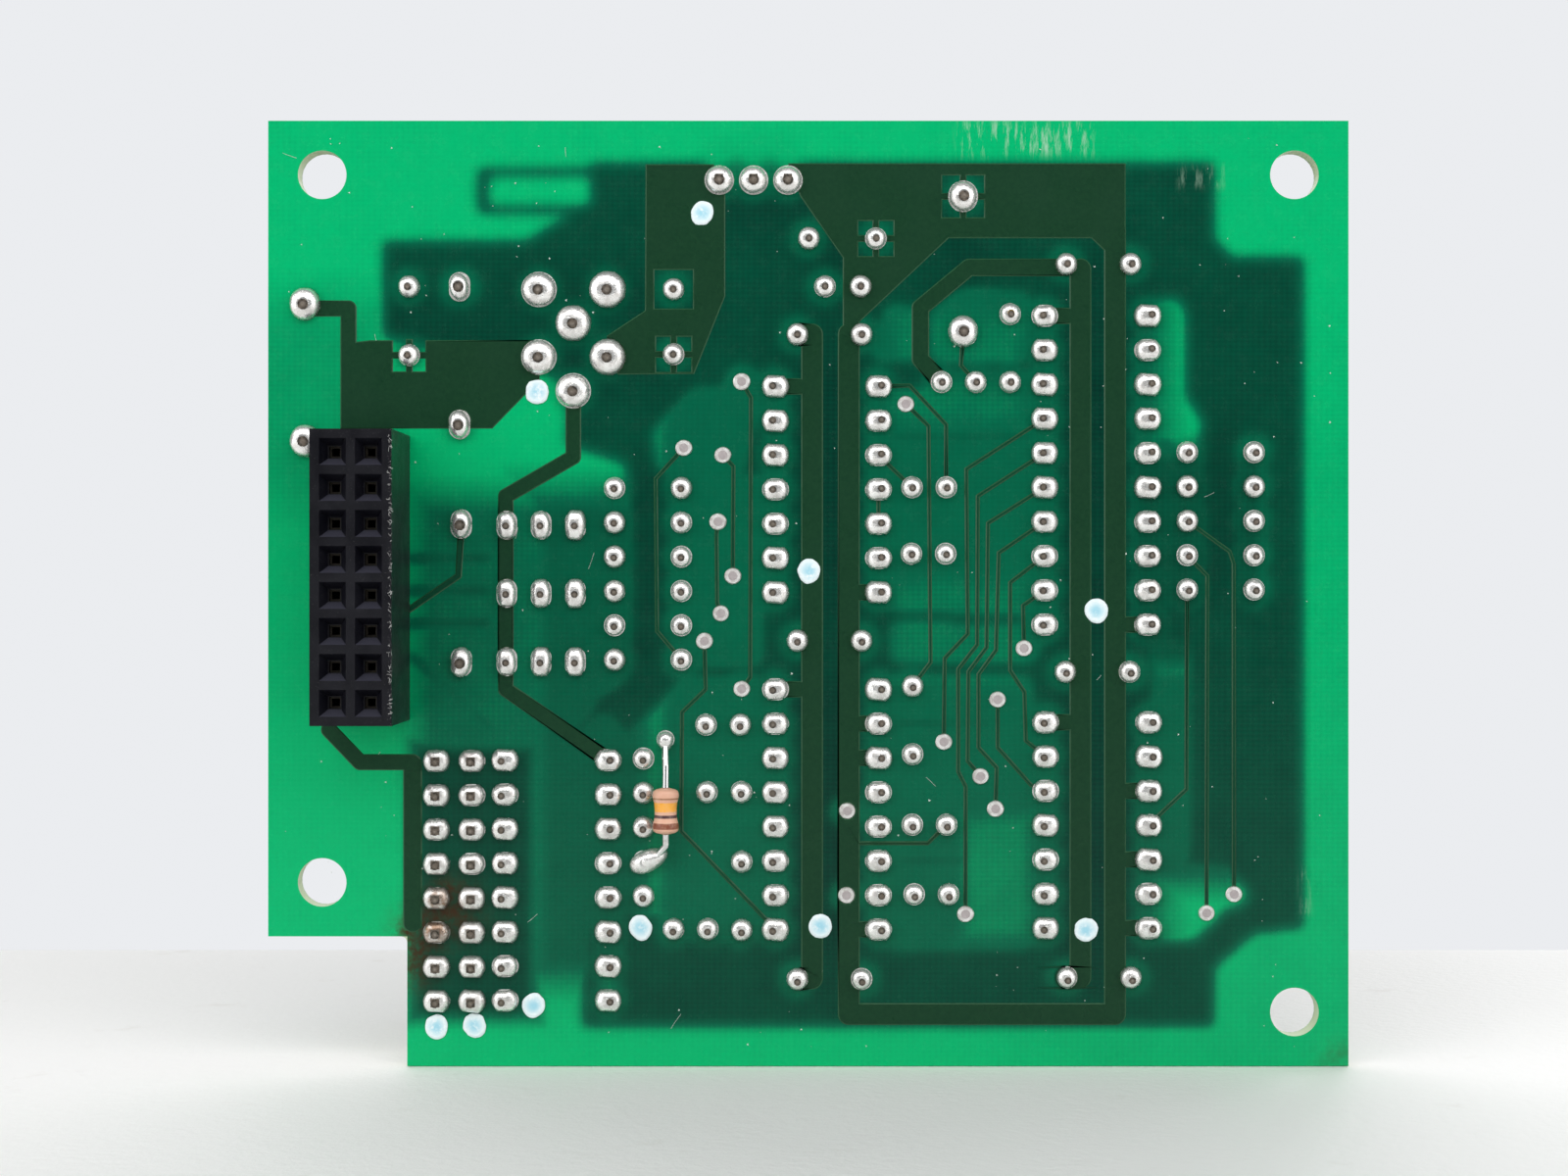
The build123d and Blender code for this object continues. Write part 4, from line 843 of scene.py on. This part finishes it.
# flat is where the straight sides cut the dome, as a share of its radius, and grow spreads it over its pad;
# seed is for what is random, and the others are millimetres
leadJoint = {
    "flat": 0.98, "grow": 1.07, "rise": 0.66, "tip": 0.26, "shift": 0.0, "drop": 0.1, "out": 0.97,
    "wobble": 0.1, "seed": 11,
}
packageJoint = {
    **leadJoint, "flat": 0.8, "grow": 1.06, "rise": 0.62, "tip": 0.27, "shift": 0.2, "drop": 0.03,
    "wobble": 0.09, "seed": 3,
}
headerJoint = {
    **leadJoint, "flat": 0.8, "grow": 1.06, "rise": 0.68, "tip": 0.33, "drop": 0.05, "wobble": 0.12, "seed": 5,
}
trimmerJoint = {**leadJoint, "flat": 0.86, "rise": 0.68, "drop": 0.08, "wobble": 0.12, "seed": 7}
powerJoint = {**leadJoint, "grow": 1.05, "rise": 0.8, "tip": 0.4, "out": 0.98, "wobble": 0.14, "seed": 13}
socketJoint = {**leadJoint, "grow": 1.0, "rise": 0.7, "tip": 0.38, "drop": 0.0, "out": 0.9, "seed": 17}
headerSolder = solderFinish("headerSolder", 0.2, 0.6)
solderJoints("filletsPackages", "package_joints", packageJoint, turnOf=packageTurn)
solderJoints("filletsHeader", "header_joints", headerJoint, finish=headerSolder)
solderJoints("filletsTrimmers", "trimmer_joints", trimmerJoint)
solderJoints("filletsLeads", "wire_joints", leadJoint)
solderJoints("filletsPower", "power_joints", powerJoint)
solderJoints("filletsSocket", "socket_joints", socketJoint, side=1)
print("solder ready")

padFinish = solderFinish("tinnedPads", dull=0.4)
finishNode(["solder_side_pads", "component_side_pads"], padFinish)
finishNode(["plated_vias"], dullSolder)


# vias

viaSizes = {"rise": 0.13, "hole": 0.34, "out": 0.15, "wobble": 0.08, "halfX": 0.64, "halfZ": 0.62}
viaFilling = Finish("viaFilling", roughness=0.45, metallic=0.35)
cloudy = viaFilling.noise(0.25, 4.0, 0.7)
viaFilling.mix(cloudy, (0.3, 0.26, 0.26), (0.62, 0.56, 0.56))
viaFilling.bump(viaFilling.noise(0.2, 3.0), 0.4, 0.05)
viaPlaces = [((low.x + high.x) / 2, -0.02 * mm, (low.z + high.z) / 2) for low, high in looseParts("plated_vias")]
viaCount = len(viaPlaces)
bakeTree(
    "filletsVias", viaPlaces, filletTree,
    {
        "Flat share": 1.0, "Rise": viaSizes["rise"] * mm, "Tip radius": viaSizes["hole"] * mm,
        "Tip shift": 0.0, "Tip drop": 0.0, "Tip out": viaSizes["out"] * mm, "Wobble": viaSizes["wobble"] * mm,
        "Outward": 1.0, "Seed": 19, "Solder": dullSolder.material, "Cut lead": viaFilling.material,
    },
    attributes={
        "halfX": [viaSizes["halfX"] * mm] * viaCount, "halfZ": [viaSizes["halfZ"] * mm] * viaCount,
        "turn": [0.0] * viaCount,
    },
)


# paint dots

def paintTree():
    tree, given, out = newGeometryTree("paintDab", {
        "Radius": 0.85 * mm, "Thickness": 0.12 * mm, "Ragged": 0.35 * mm, "Seed": 4, "Paint": None,
    })
    x, y, z = positionParts(tree)
    level = maths(tree, "ADD", z, 0.5)
    width = curveNode(tree, level, [(0, 1), (1, 0.78), (0.4, 0.97), (0.75, 0.9)])
    across = times(tree, times(tree, x, width), given["Radius"])
    taller = times(tree, given["Radius"], 1.1)
    up = times(tree, times(tree, y, width), taller)
    shape = vectorOf(tree, across, up, times(tree, level, given["Thickness"]))
    dab = changeMesh(tree, "SetPosition", cylinderNode(tree, 28, 3, 3), {"Position": shape})
    dab = storeDistance(tree, dab, given["Radius"])
    spin = spinBy(tree, math.pi / 2, randomNumber(tree, -0.4, 0.4, given["Seed"]), 0.0)
    dabs = changeMesh(tree, "RealizeInstances", copyToPoints(tree, given["Geometry"], dab, spin))
    dabs = makeRagged(tree, dabs, 0.9, 3.0, given["Ragged"], (1.0, 0.0, 1.0))
    tree.links.new(changeMesh(tree, "SetMaterial", dabs, {"Material": given["Paint"]}), out)
    return tree


paint = Finish("palePaint", roughness=0.55)
inner = remap(paint.tree, paint.attribute("fromMiddle").outputs["Fac"], 0.25, 0.85)
chalk = paint.noise(0.4, 4.0, 0.6)
tint = blendColours(paint.tree, inner, (0.36, 0.68, 0.8), (0.8, 0.91, 0.93))
paint.mix(remap(paint.tree, chalk, 0.5, 0.7), tint, (0.88, 0.95, 0.97))
paint.bump(chalk, 0.4, 0.05)
dotPlaces = [((low.x + high.x) / 2, -0.06 * mm, (low.z + high.z) / 2) for low, high in looseParts("paint_dots")]
bakeTree("paintDabs", dotPlaces, paintTree(), {"Seed": 4, "Paint": paint.material}, ["paint_dots"])
print("paint ready")


# small round bodies with bands

def bandedTree(name, profile):
    tree, given, out = newGeometryTree(name, {"Seed": 2, "Coat": None})
    x, y, z = positionParts(tree)
    body = storeNumber(tree, cylinderNode(tree, 24, 30), "along", maths(tree, "ADD", z, 0.5))
    width = curveNode(tree, readNumber(tree, "along"), profile)
    shape = vectorOf(tree, times(tree, x, width), times(tree, y, width), z)
    body = changeMesh(tree, "SetPosition", body, {"Position": shape})
    spin = spinBy(tree, 0.0, readNumber(tree, "turn"), 0.0)
    radius = readNumber(tree, "radius")
    scale = vectorOf(tree, radius, radius, readNumber(tree, "long"))
    bodies = copyToPoints(tree, given["Geometry"], body, spin, scale)
    bodies = storeNumber(tree, bodies, "pick", randomNumber(tree, 0.0, 1.0, given["Seed"]), "INSTANCE")
    bodies = changeMesh(tree, "SetShadeSmooth", changeMesh(tree, "RealizeInstances", bodies))
    tree.links.new(changeMesh(tree, "SetMaterial", bodies, {"Material": given["Coat"]}), out)
    return tree


def bandedBodies(name, nodeName, tree, finish, seed):
    points, longs, radii, turns = [], [], [], []
    for low, high in looseParts(nodeName):
        points.append(tuple((low + high) / 2))
        lying = high.x - low.x > high.z - low.z
        longs.append(max(high.x - low.x, high.z - low.z))
        radii.append((high.y - low.y) / 2)
        turns.append(math.pi / 2 if lying else 0.0)
    return bakeTree(
        name, points, tree, {"Seed": seed, "Coat": finish.material}, [nodeName],
        attributes={"long": longs, "radius": radii, "turn": turns},
    )


def bandRamp(finish, stops):
    # stops: (from this share of the length, colour), in order
    ramp = addNode(finish.tree, "ShaderNodeValToRGB", {0: finish.attribute("along").outputs["Fac"]})
    ramp.color_ramp.interpolation = "CONSTANT"
    elements = ramp.color_ramp.elements
    while len(elements) > 1:
        elements.remove(elements[-1])
    for i, (share, colour) in enumerate(stops):
        element = elements[0] if i == 0 else elements.new(share)
        element.position = share
        element.color = (*colour, 1.0)
    return ramp.outputs[0]


dumbbellProfile = [
    (0, 0.3), (1, 0.3), (0.03, 0.72), (0.08, 0.94), (0.16, 1.0), (0.25, 0.95), (0.33, 0.87),
    (0.67, 0.87), (0.75, 0.95), (0.84, 1.0), (0.92, 0.94), (0.97, 0.72),
]
barrelProfile = [(0, 0.7), (1, 0.7), (0.03, 0.93), (0.07, 1.0), (0.93, 1.0), (0.97, 0.93)]
resistorTree = bandedTree("dumbbellBody", dumbbellProfile)
barrelTree = bandedTree("barrelBody", barrelProfile)

skin = (0.78, 0.43, 0.3)
patchCoat = Finish("patchResistorCoat", roughness=0.34)
bands = bandRamp(patchCoat, [
    (0.0, skin), (0.12, (0.25, 0.07, 0.035)), (0.25, skin), (0.355, (0.075, 0.03, 0.035)), (0.42, skin),
    (0.49, (0.95, 0.42, 0.04)), (0.69, skin), (0.755, (0.36, 0.16, 0.08)), (0.79, skin),
])
mottle = patchCoat.noise(0.35, 4.0, 0.65)
paler = remap(patchCoat.tree, mottle, 0.45, 0.8, 0.0, 0.4)
patchCoat.mix(paler, bands, (0.86, 0.6, 0.42))
patchCoat.bump(mottle, 0.25, 0.05)
bandedBodies("patchResistor", "patch_resistor_body", resistorTree, patchCoat, 2)

smallCoat = Finish("resistorCoat", roughness=0.32)
tan = (0.62, 0.38, 0.2)
bands = bandRamp(smallCoat, [
    (0.0, tan), (0.13, (0.16, 0.06, 0.02)), (0.22, tan), (0.34, (0.012, 0.012, 0.012)), (0.42, tan),
    (0.52, (0.55, 0.04, 0.02)), (0.6, tan), (0.77, (0.55, 0.36, 0.1)), (0.86, tan),
])
picked = smallCoat.attribute("pick").outputs["Fac"]
warm = blendColours(smallCoat.tree, picked, (1.0, 1.0, 1.0), (0.85, 0.8, 0.72))
smallCoat.mix(1.0, bands, warm, "MULTIPLY")
smallCoat.bump(smallCoat.noise(0.3, 3.0), 0.2, 0.05)
bandedBodies("smallResistors", "small_resistor_bodies", resistorTree, smallCoat, 8)

blackCoat = Finish("mouldedDiode", roughness=0.45)
black = (0.02, 0.02, 0.021)
blackCoat.colour(bandRamp(blackCoat, [(0.0, black), (0.8, (0.62, 0.62, 0.6)), (0.9, black)]))
blackCoat.bump(blackCoat.noise(0.25, 3.0), 0.35, 0.04)
bandedBodies("plasticDiode", "plastic_diode", barrelTree, blackCoat, 3)
bandedBodies("powerDiodes", "power_diodes", barrelTree, blackCoat, 3)
glassCoat = Finish("glassDiode", roughness=0.08, Coat_Weight=0.6)
amber = (0.5, 0.12, 0.04)
glassCoat.colour(bandRamp(glassCoat, [
    (0.0, amber), (0.3, (0.75, 0.3, 0.12)), (0.62, amber), (0.8, (0.01, 0.01, 0.01)), (0.9, amber),
]))
glassCoat.bump(glassCoat.noise(0.6, 2.0), 0.08, 0.05)
bandedBodies("glassDiode", "glass_diode", barrelTree, glassCoat, 3)
print("round bodies ready")


# solder of the added resistor

patchSizes = {
    "length": 1.5, "across": 0.82, "lift": 1.05, "taper": 0.18, "shoulder": 0.22, "shift": 0.1, "lean": 24.0,
    "dabLift": 0.72, "surface": 0.07,
}


def patchSolder():
    # a leaning blob over one pin, and a dab at the other end
    sizes = patchSizes
    parts = sorted(looseParts("patch_solder"), key=lambda part: part[0].z)
    work = bmesh.new()
    for number, (low, high) in enumerate(parts):
        made = bmesh.ops.create_icosphere(work, subdivisions=4, radius=1.0)["verts"]
        centre = (low + high) / 2
        half = (high - low) / 2
        for vert in made:
            p = vert.co.copy()
            if number == 0:
                # drawn out along the lead, with a raised shoulder
                lift = sizes["lift"] * mm * (1.0 + sizes["shoulder"] * p.x)
                x, z = p.x * sizes["length"] * mm, p.z * sizes["across"] * mm * (1.0 - sizes["taper"] * p.x)
                lean = math.radians(sizes["lean"])
                vert.co = Vector((
                    centre.x - sizes["shift"] * mm + x * math.cos(lean) - z * math.sin(lean),
                    -sizes["surface"] * mm - max(0.0, -p.y) ** 0.8 * lift,
                    centre.z - sizes["shift"] * mm + x * math.sin(lean) + z * math.cos(lean),
                ))
            else:
                slim = 1.0 - 0.25 * max(0.0, -p.z)
                vert.co = Vector((
                    centre.x + p.x * half.x * 1.05 * slim,
                    -sizes["surface"] * mm - max(0.0, -p.y) ** 0.85 * sizes["dabLift"] * mm,
                    centre.z + p.z * half.z * (1.5 if p.z < 0 else 1.0),
                ))
    bmesh.ops.remove_doubles(work, verts=work.verts, dist=1e-7)
    bmesh.ops.recalc_face_normals(work, faces=work.faces)
    data = meshFrom(work, "patchBlobs")
    shine = solderFinish("freshSolder")
    shine.bump(shine.noise(0.7, 2.0), 0.5, 0.12)
    data.materials.append(shine.material)
    return makePiece("patchBlobs", data, ["patch_solder"], smooth=True)


patchSolder()


# leads and contacts

def metalFinish(name, light, dark, roughness, size=0.6):
    metal = Finish(name, metallic=1.0)
    cloud = metal.noise(size, 4.0, 0.6)
    metal.mix(remap(metal.tree, cloud, 0.35, 0.7), light, dark)
    metal.rough(remap(metal.tree, cloud, 0.3, 0.75, roughness, roughness + 0.15))
    metal.bump(metal.noise(0.15, 2.0), 0.15, 0.02)
    return metal


wetLead = metalFinish("wettedLead", (0.95, 0.95, 0.94), (0.66, 0.65, 0.62), 0.14, 0.4)
finishNode(["patch_resistor_leads"], wetLead)
steel = metalFinish("tinnedSteel", (0.82, 0.82, 0.8), (0.6, 0.59, 0.57), 0.26)
finishNode([
    "package_legs", "capacitor_leads", "small_resistor_leads", "diode_leads", "resistor_network_pins",
    "transistor_legs", "trimmer_terminals", "regulator_1_frame", "regulator_2_frame",
], steel)
brass = metalFinish("turnedBrass", (0.82, 0.6, 0.25), (0.62, 0.42, 0.16), 0.24)
finishNode(["test_pin", "trimmer_1_screw", "trimmer_2_screw", "trimmer_3_screw"], brass)
gilt = metalFinish("giltPosts", (0.9, 0.66, 0.28), (0.74, 0.52, 0.2), 0.2)
# the ends that come through the joints are dull with flux
throughJoint = maths(gilt.tree, "LESS_THAN", gilt.axis("Y"), 0.0)
plated = gilt.shader.inputs["Base Color"].links[0].from_socket
gilt.mix(throughJoint, plated, (0.2, 0.17, 0.14))
finishNode(["output_header_posts", "power_inlet_posts"], gilt)
# the contacts deep in the socket mouths are coloured near black: painted shade
shadowed = Finish("contactsInPaintedShade", roughness=0.5, metallic=0.7)
mottleNoise = shadowed.noise(0.3, 3.0)
shadowed.mix(mottleNoise, (0.012, 0.011, 0.01), (0.05, 0.042, 0.028))
finishNode(["socket_contacts"], shadowed)


# mouldings

def mouldFinish(name, colour, second, roughness, bumpSize=0.18, bumpStrength=0.3):
    mould = Finish(name, IOR=1.34)
    broad = mould.noise(2.5, 4.0, 0.6)
    mould.mix(remap(mould.tree, broad, 0.35, 0.75), colour, second)
    mould.rough(remap(mould.tree, broad, 0.3, 0.7, roughness, roughness + 0.14))
    mould.bump(mould.noise(bumpSize, 3.0, 0.6), bumpStrength, 0.03)
    return mould


nylon = mouldFinish("blackNylon", (0.0025, 0.0025, 0.005), (0.007, 0.007, 0.011), 0.3, 0.14, 0.4)
# specks are thickest along the right-hand edge
socketLow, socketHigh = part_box("socket_housing")
nearEdge = remap(nylon.tree, nylon.axis("X"), socketHigh.x - 0.35 * mm, socketHigh.x)
threshold = maths(nylon.tree, "SUBTRACT", 0.7, times(nylon.tree, nearEdge, 0.1))
dust = maths(nylon.tree, "GREATER_THAN", nylon.noise(0.09, 3.0, 0.7), threshold)
lit = nylon.shader.inputs["Base Color"].links[0].from_socket
# what faces up, such as the lower slopes of the mouths, is painted lighter grey: painted light from above
normal = addNode(nylon.tree, "ShaderNodeNewGeometry").outputs["Normal"]
upward = addNode(nylon.tree, "ShaderNodeSeparateXYZ", {0: normal}).outputs[2]
paintedTopLight = remap(nylon.tree, upward, 0.15, 0.75, 0.0, 0.9)
lit = blendColours(nylon.tree, paintedTopLight, lit, (0.045, 0.045, 0.062))
nylon.mix(times(nylon.tree, dust, 0.5), lit, (0.28, 0.28, 0.27))
finishNode(["socket_housing"], nylon)
# for each finish: its pieces, two colours, roughness, and for some the size and strength of its grain
mouldings = {
    "blackEpoxy": (
        [n for n in nodes if n.startswith(("ic_", "regulator_", "transistor_")) and n.endswith("_body")],
        (0.016, 0.016, 0.018), (0.03, 0.03, 0.032), 0.42,
    ),
    "headerNylon": (["output_header_base"], (0.006, 0.006, 0.009), (0.015, 0.015, 0.019), 0.36, 0.14, 0.4),
    "whiteNylon": (["power_inlet_base"], (0.78, 0.76, 0.7), (0.66, 0.63, 0.56), 0.4),
    "blueCase": ([f"trimmer_{i}_housing" for i in (1, 2, 3)], (0.02, 0.1, 0.42), (0.03, 0.14, 0.5), 0.32),
    "wheelNylon": ([f"trimmer_{i}_wheel" for i in (1, 2, 3)], (0.8, 0.77, 0.68), (0.7, 0.66, 0.56), 0.42),
    "elementCeramic": (["trimmer_elements"], (0.82, 0.8, 0.75), (0.7, 0.68, 0.62), 0.6),
    "yellowEpoxy": (["bypass_capacitors"], (0.68, 0.4, 0.05), (0.58, 0.32, 0.04), 0.3),
    "orangeCeramic": (["small_capacitors"], (0.6, 0.22, 0.05), (0.48, 0.17, 0.05), 0.5),
    "redBox": (["film_capacitors"], (0.5, 0.03, 0.025), (0.42, 0.028, 0.02), 0.26),
    "blackCoating": (["resistor_network"], (0.014, 0.014, 0.017), (0.03, 0.03, 0.034), 0.2),
}
for name, (pieces, *look) in mouldings.items():
    finishNode(pieces, mouldFinish(name, *look))

canSizes = {"lip": 0.45, "curl": 0.12, "stripe": 1.75, "score": 0.1}
canLow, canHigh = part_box("electrolytic_can")
sleeve = Finish("canSleeve", roughness=0.22)
tree = sleeve.tree
canX, canZ = (canLow.x + canHigh.x) / 2, (canLow.z + canHigh.z) / 2
offX = maths(tree, "SUBTRACT", sleeve.axis("X"), canX)
offZ = maths(tree, "SUBTRACT", sleeve.axis("Z"), canZ)
top = maths(tree, "GREATER_THAN", sleeve.axis("Y"), canHigh.y - canSizes["curl"] * mm)
bareRadius = (canHigh.x - canLow.x) / 2 - canSizes["lip"] * mm
bare = times(tree, top, maths(tree, "LESS_THAN", flatDistance(tree, offX, offZ), bareRadius))
stripe = maths(tree, "GREATER_THAN", offX, canSizes["stripe"] * mm)
jacket = blendColours(tree, stripe, (0.012, 0.02, 0.06), (0.6, 0.62, 0.64))
crossX = maths(tree, "LESS_THAN", maths(tree, "ABSOLUTE", offX), canSizes["score"] * mm)
crossZ = maths(tree, "LESS_THAN", maths(tree, "ABSOLUTE", offZ), canSizes["score"] * mm)
score = maths(tree, "MAXIMUM", crossX, crossZ)
alloy = blendColours(tree, score, (0.75, 0.75, 0.76), (0.3, 0.3, 0.31))
sleeve.mix(bare, jacket, alloy)
tree.links.new(bare, sleeve.shader.inputs["Metallic"])
sleeve.bump(sleeve.noise(0.5, 3.0), 0.1, 0.04)
finishNode(["electrolytic_can"], sleeve)
print("mouldings ready")


# dust and moulding flash

def dustTree():
    tree, given, out = newGeometryTree("dustSpecks", {"Thickness": 0.03 * mm, "Seed": 6, "Dust": None})
    x, y, z = positionParts(tree)
    curl = times(tree, times(tree, z, z), 6.0)
    shape = vectorOf(tree, maths(tree, "ADD", x, curl), y, z)
    speck = changeMesh(tree, "SetPosition", cylinderNode(tree, 5, 3, fillType="NGON"), {"Position": shape})
    spin = spinBy(tree, 0.0, randomNumber(tree, 0.0, 6.28, given["Seed"]), 0.0)
    scale = vectorOf(tree, readNumber(tree, "wide"), given["Thickness"], readNumber(tree, "long"))
    specks = copyToPoints(tree, given["Geometry"], speck, spin, scale)
    specks = changeMesh(tree, "RealizeInstances", specks)
    tree.links.new(changeMesh(tree, "SetMaterial", specks, {"Material": given["Dust"]}), out)
    return tree


dustSizes = {
    "specks": 260, "fibres": 16, "flash": 90, "seed": 12, "across": (1, 79), "up": (1, 69),
    "speck": (0.015, 0.055), "fibre": (0.5, 1.4), "fibreWide": 0.012,
    "flashLong": (0.06, 0.34), "flashWide": (0.01, 0.028), "flashSpread": 0.12,
}
chance = np.random.default_rng(dustSizes["seed"])
fluff = Finish("dust", roughness=0.8)
fluff.mix(fluff.noise(0.3), (0.5, 0.6, 0.52), (0.8, 0.82, 0.78))
points, longs, wides = [], [], []
for number in range(dustSizes["specks"] + dustSizes["fibres"]):
    x, z = chance.uniform(*dustSizes["across"]), chance.uniform(*dustSizes["up"])
    # none in the notch or on the socket strip
    if x < 10.8 and (z < 10.2 or 25 < z < 48):
        continue
    points.append(tuple(place(x, z, 0.03)))
    if number < dustSizes["specks"]:
        size = chance.uniform(*dustSizes["speck"]) * mm
        longs.append(size * chance.uniform(1.0, 3.0))
        wides.append(size)
    else:
        longs.append(chance.uniform(*dustSizes["fibre"]) * mm)
        wides.append(dustSizes["fibreWide"] * mm)
specks = dustTree()
bakeTree(
    "boardDust", points, specks, {"Thickness": 0.015 * mm, "Seed": 6, "Dust": fluff.material},
    attributes={"long": longs, "wide": wides},
)

flash = Finish("mouldingFlash", roughness=0.6)
flash.mix(flash.noise(0.2), (0.2, 0.2, 0.2), (0.62, 0.62, 0.6))
points, longs, wides = [], [], []
for number in range(dustSizes["flash"]):
    z = chance.uniform(socketLow.z + 0.0005, socketHigh.z - 0.0005)
    inward = abs(chance.normal(0.0, dustSizes["flashSpread"])) * mm
    points.append((socketHigh.x - inward, socketLow.y - 0.02 * mm, z))
    longs.append(chance.uniform(*dustSizes["flashLong"]) * mm)
    wides.append(chance.uniform(*dustSizes["flashWide"]) * mm)
bakeTree(
    "socketFlash", points, specks, {"Thickness": 0.04 * mm, "Seed": 9, "Dust": flash.material},
    attributes={"long": longs, "wide": wides},
)
print("dust ready")
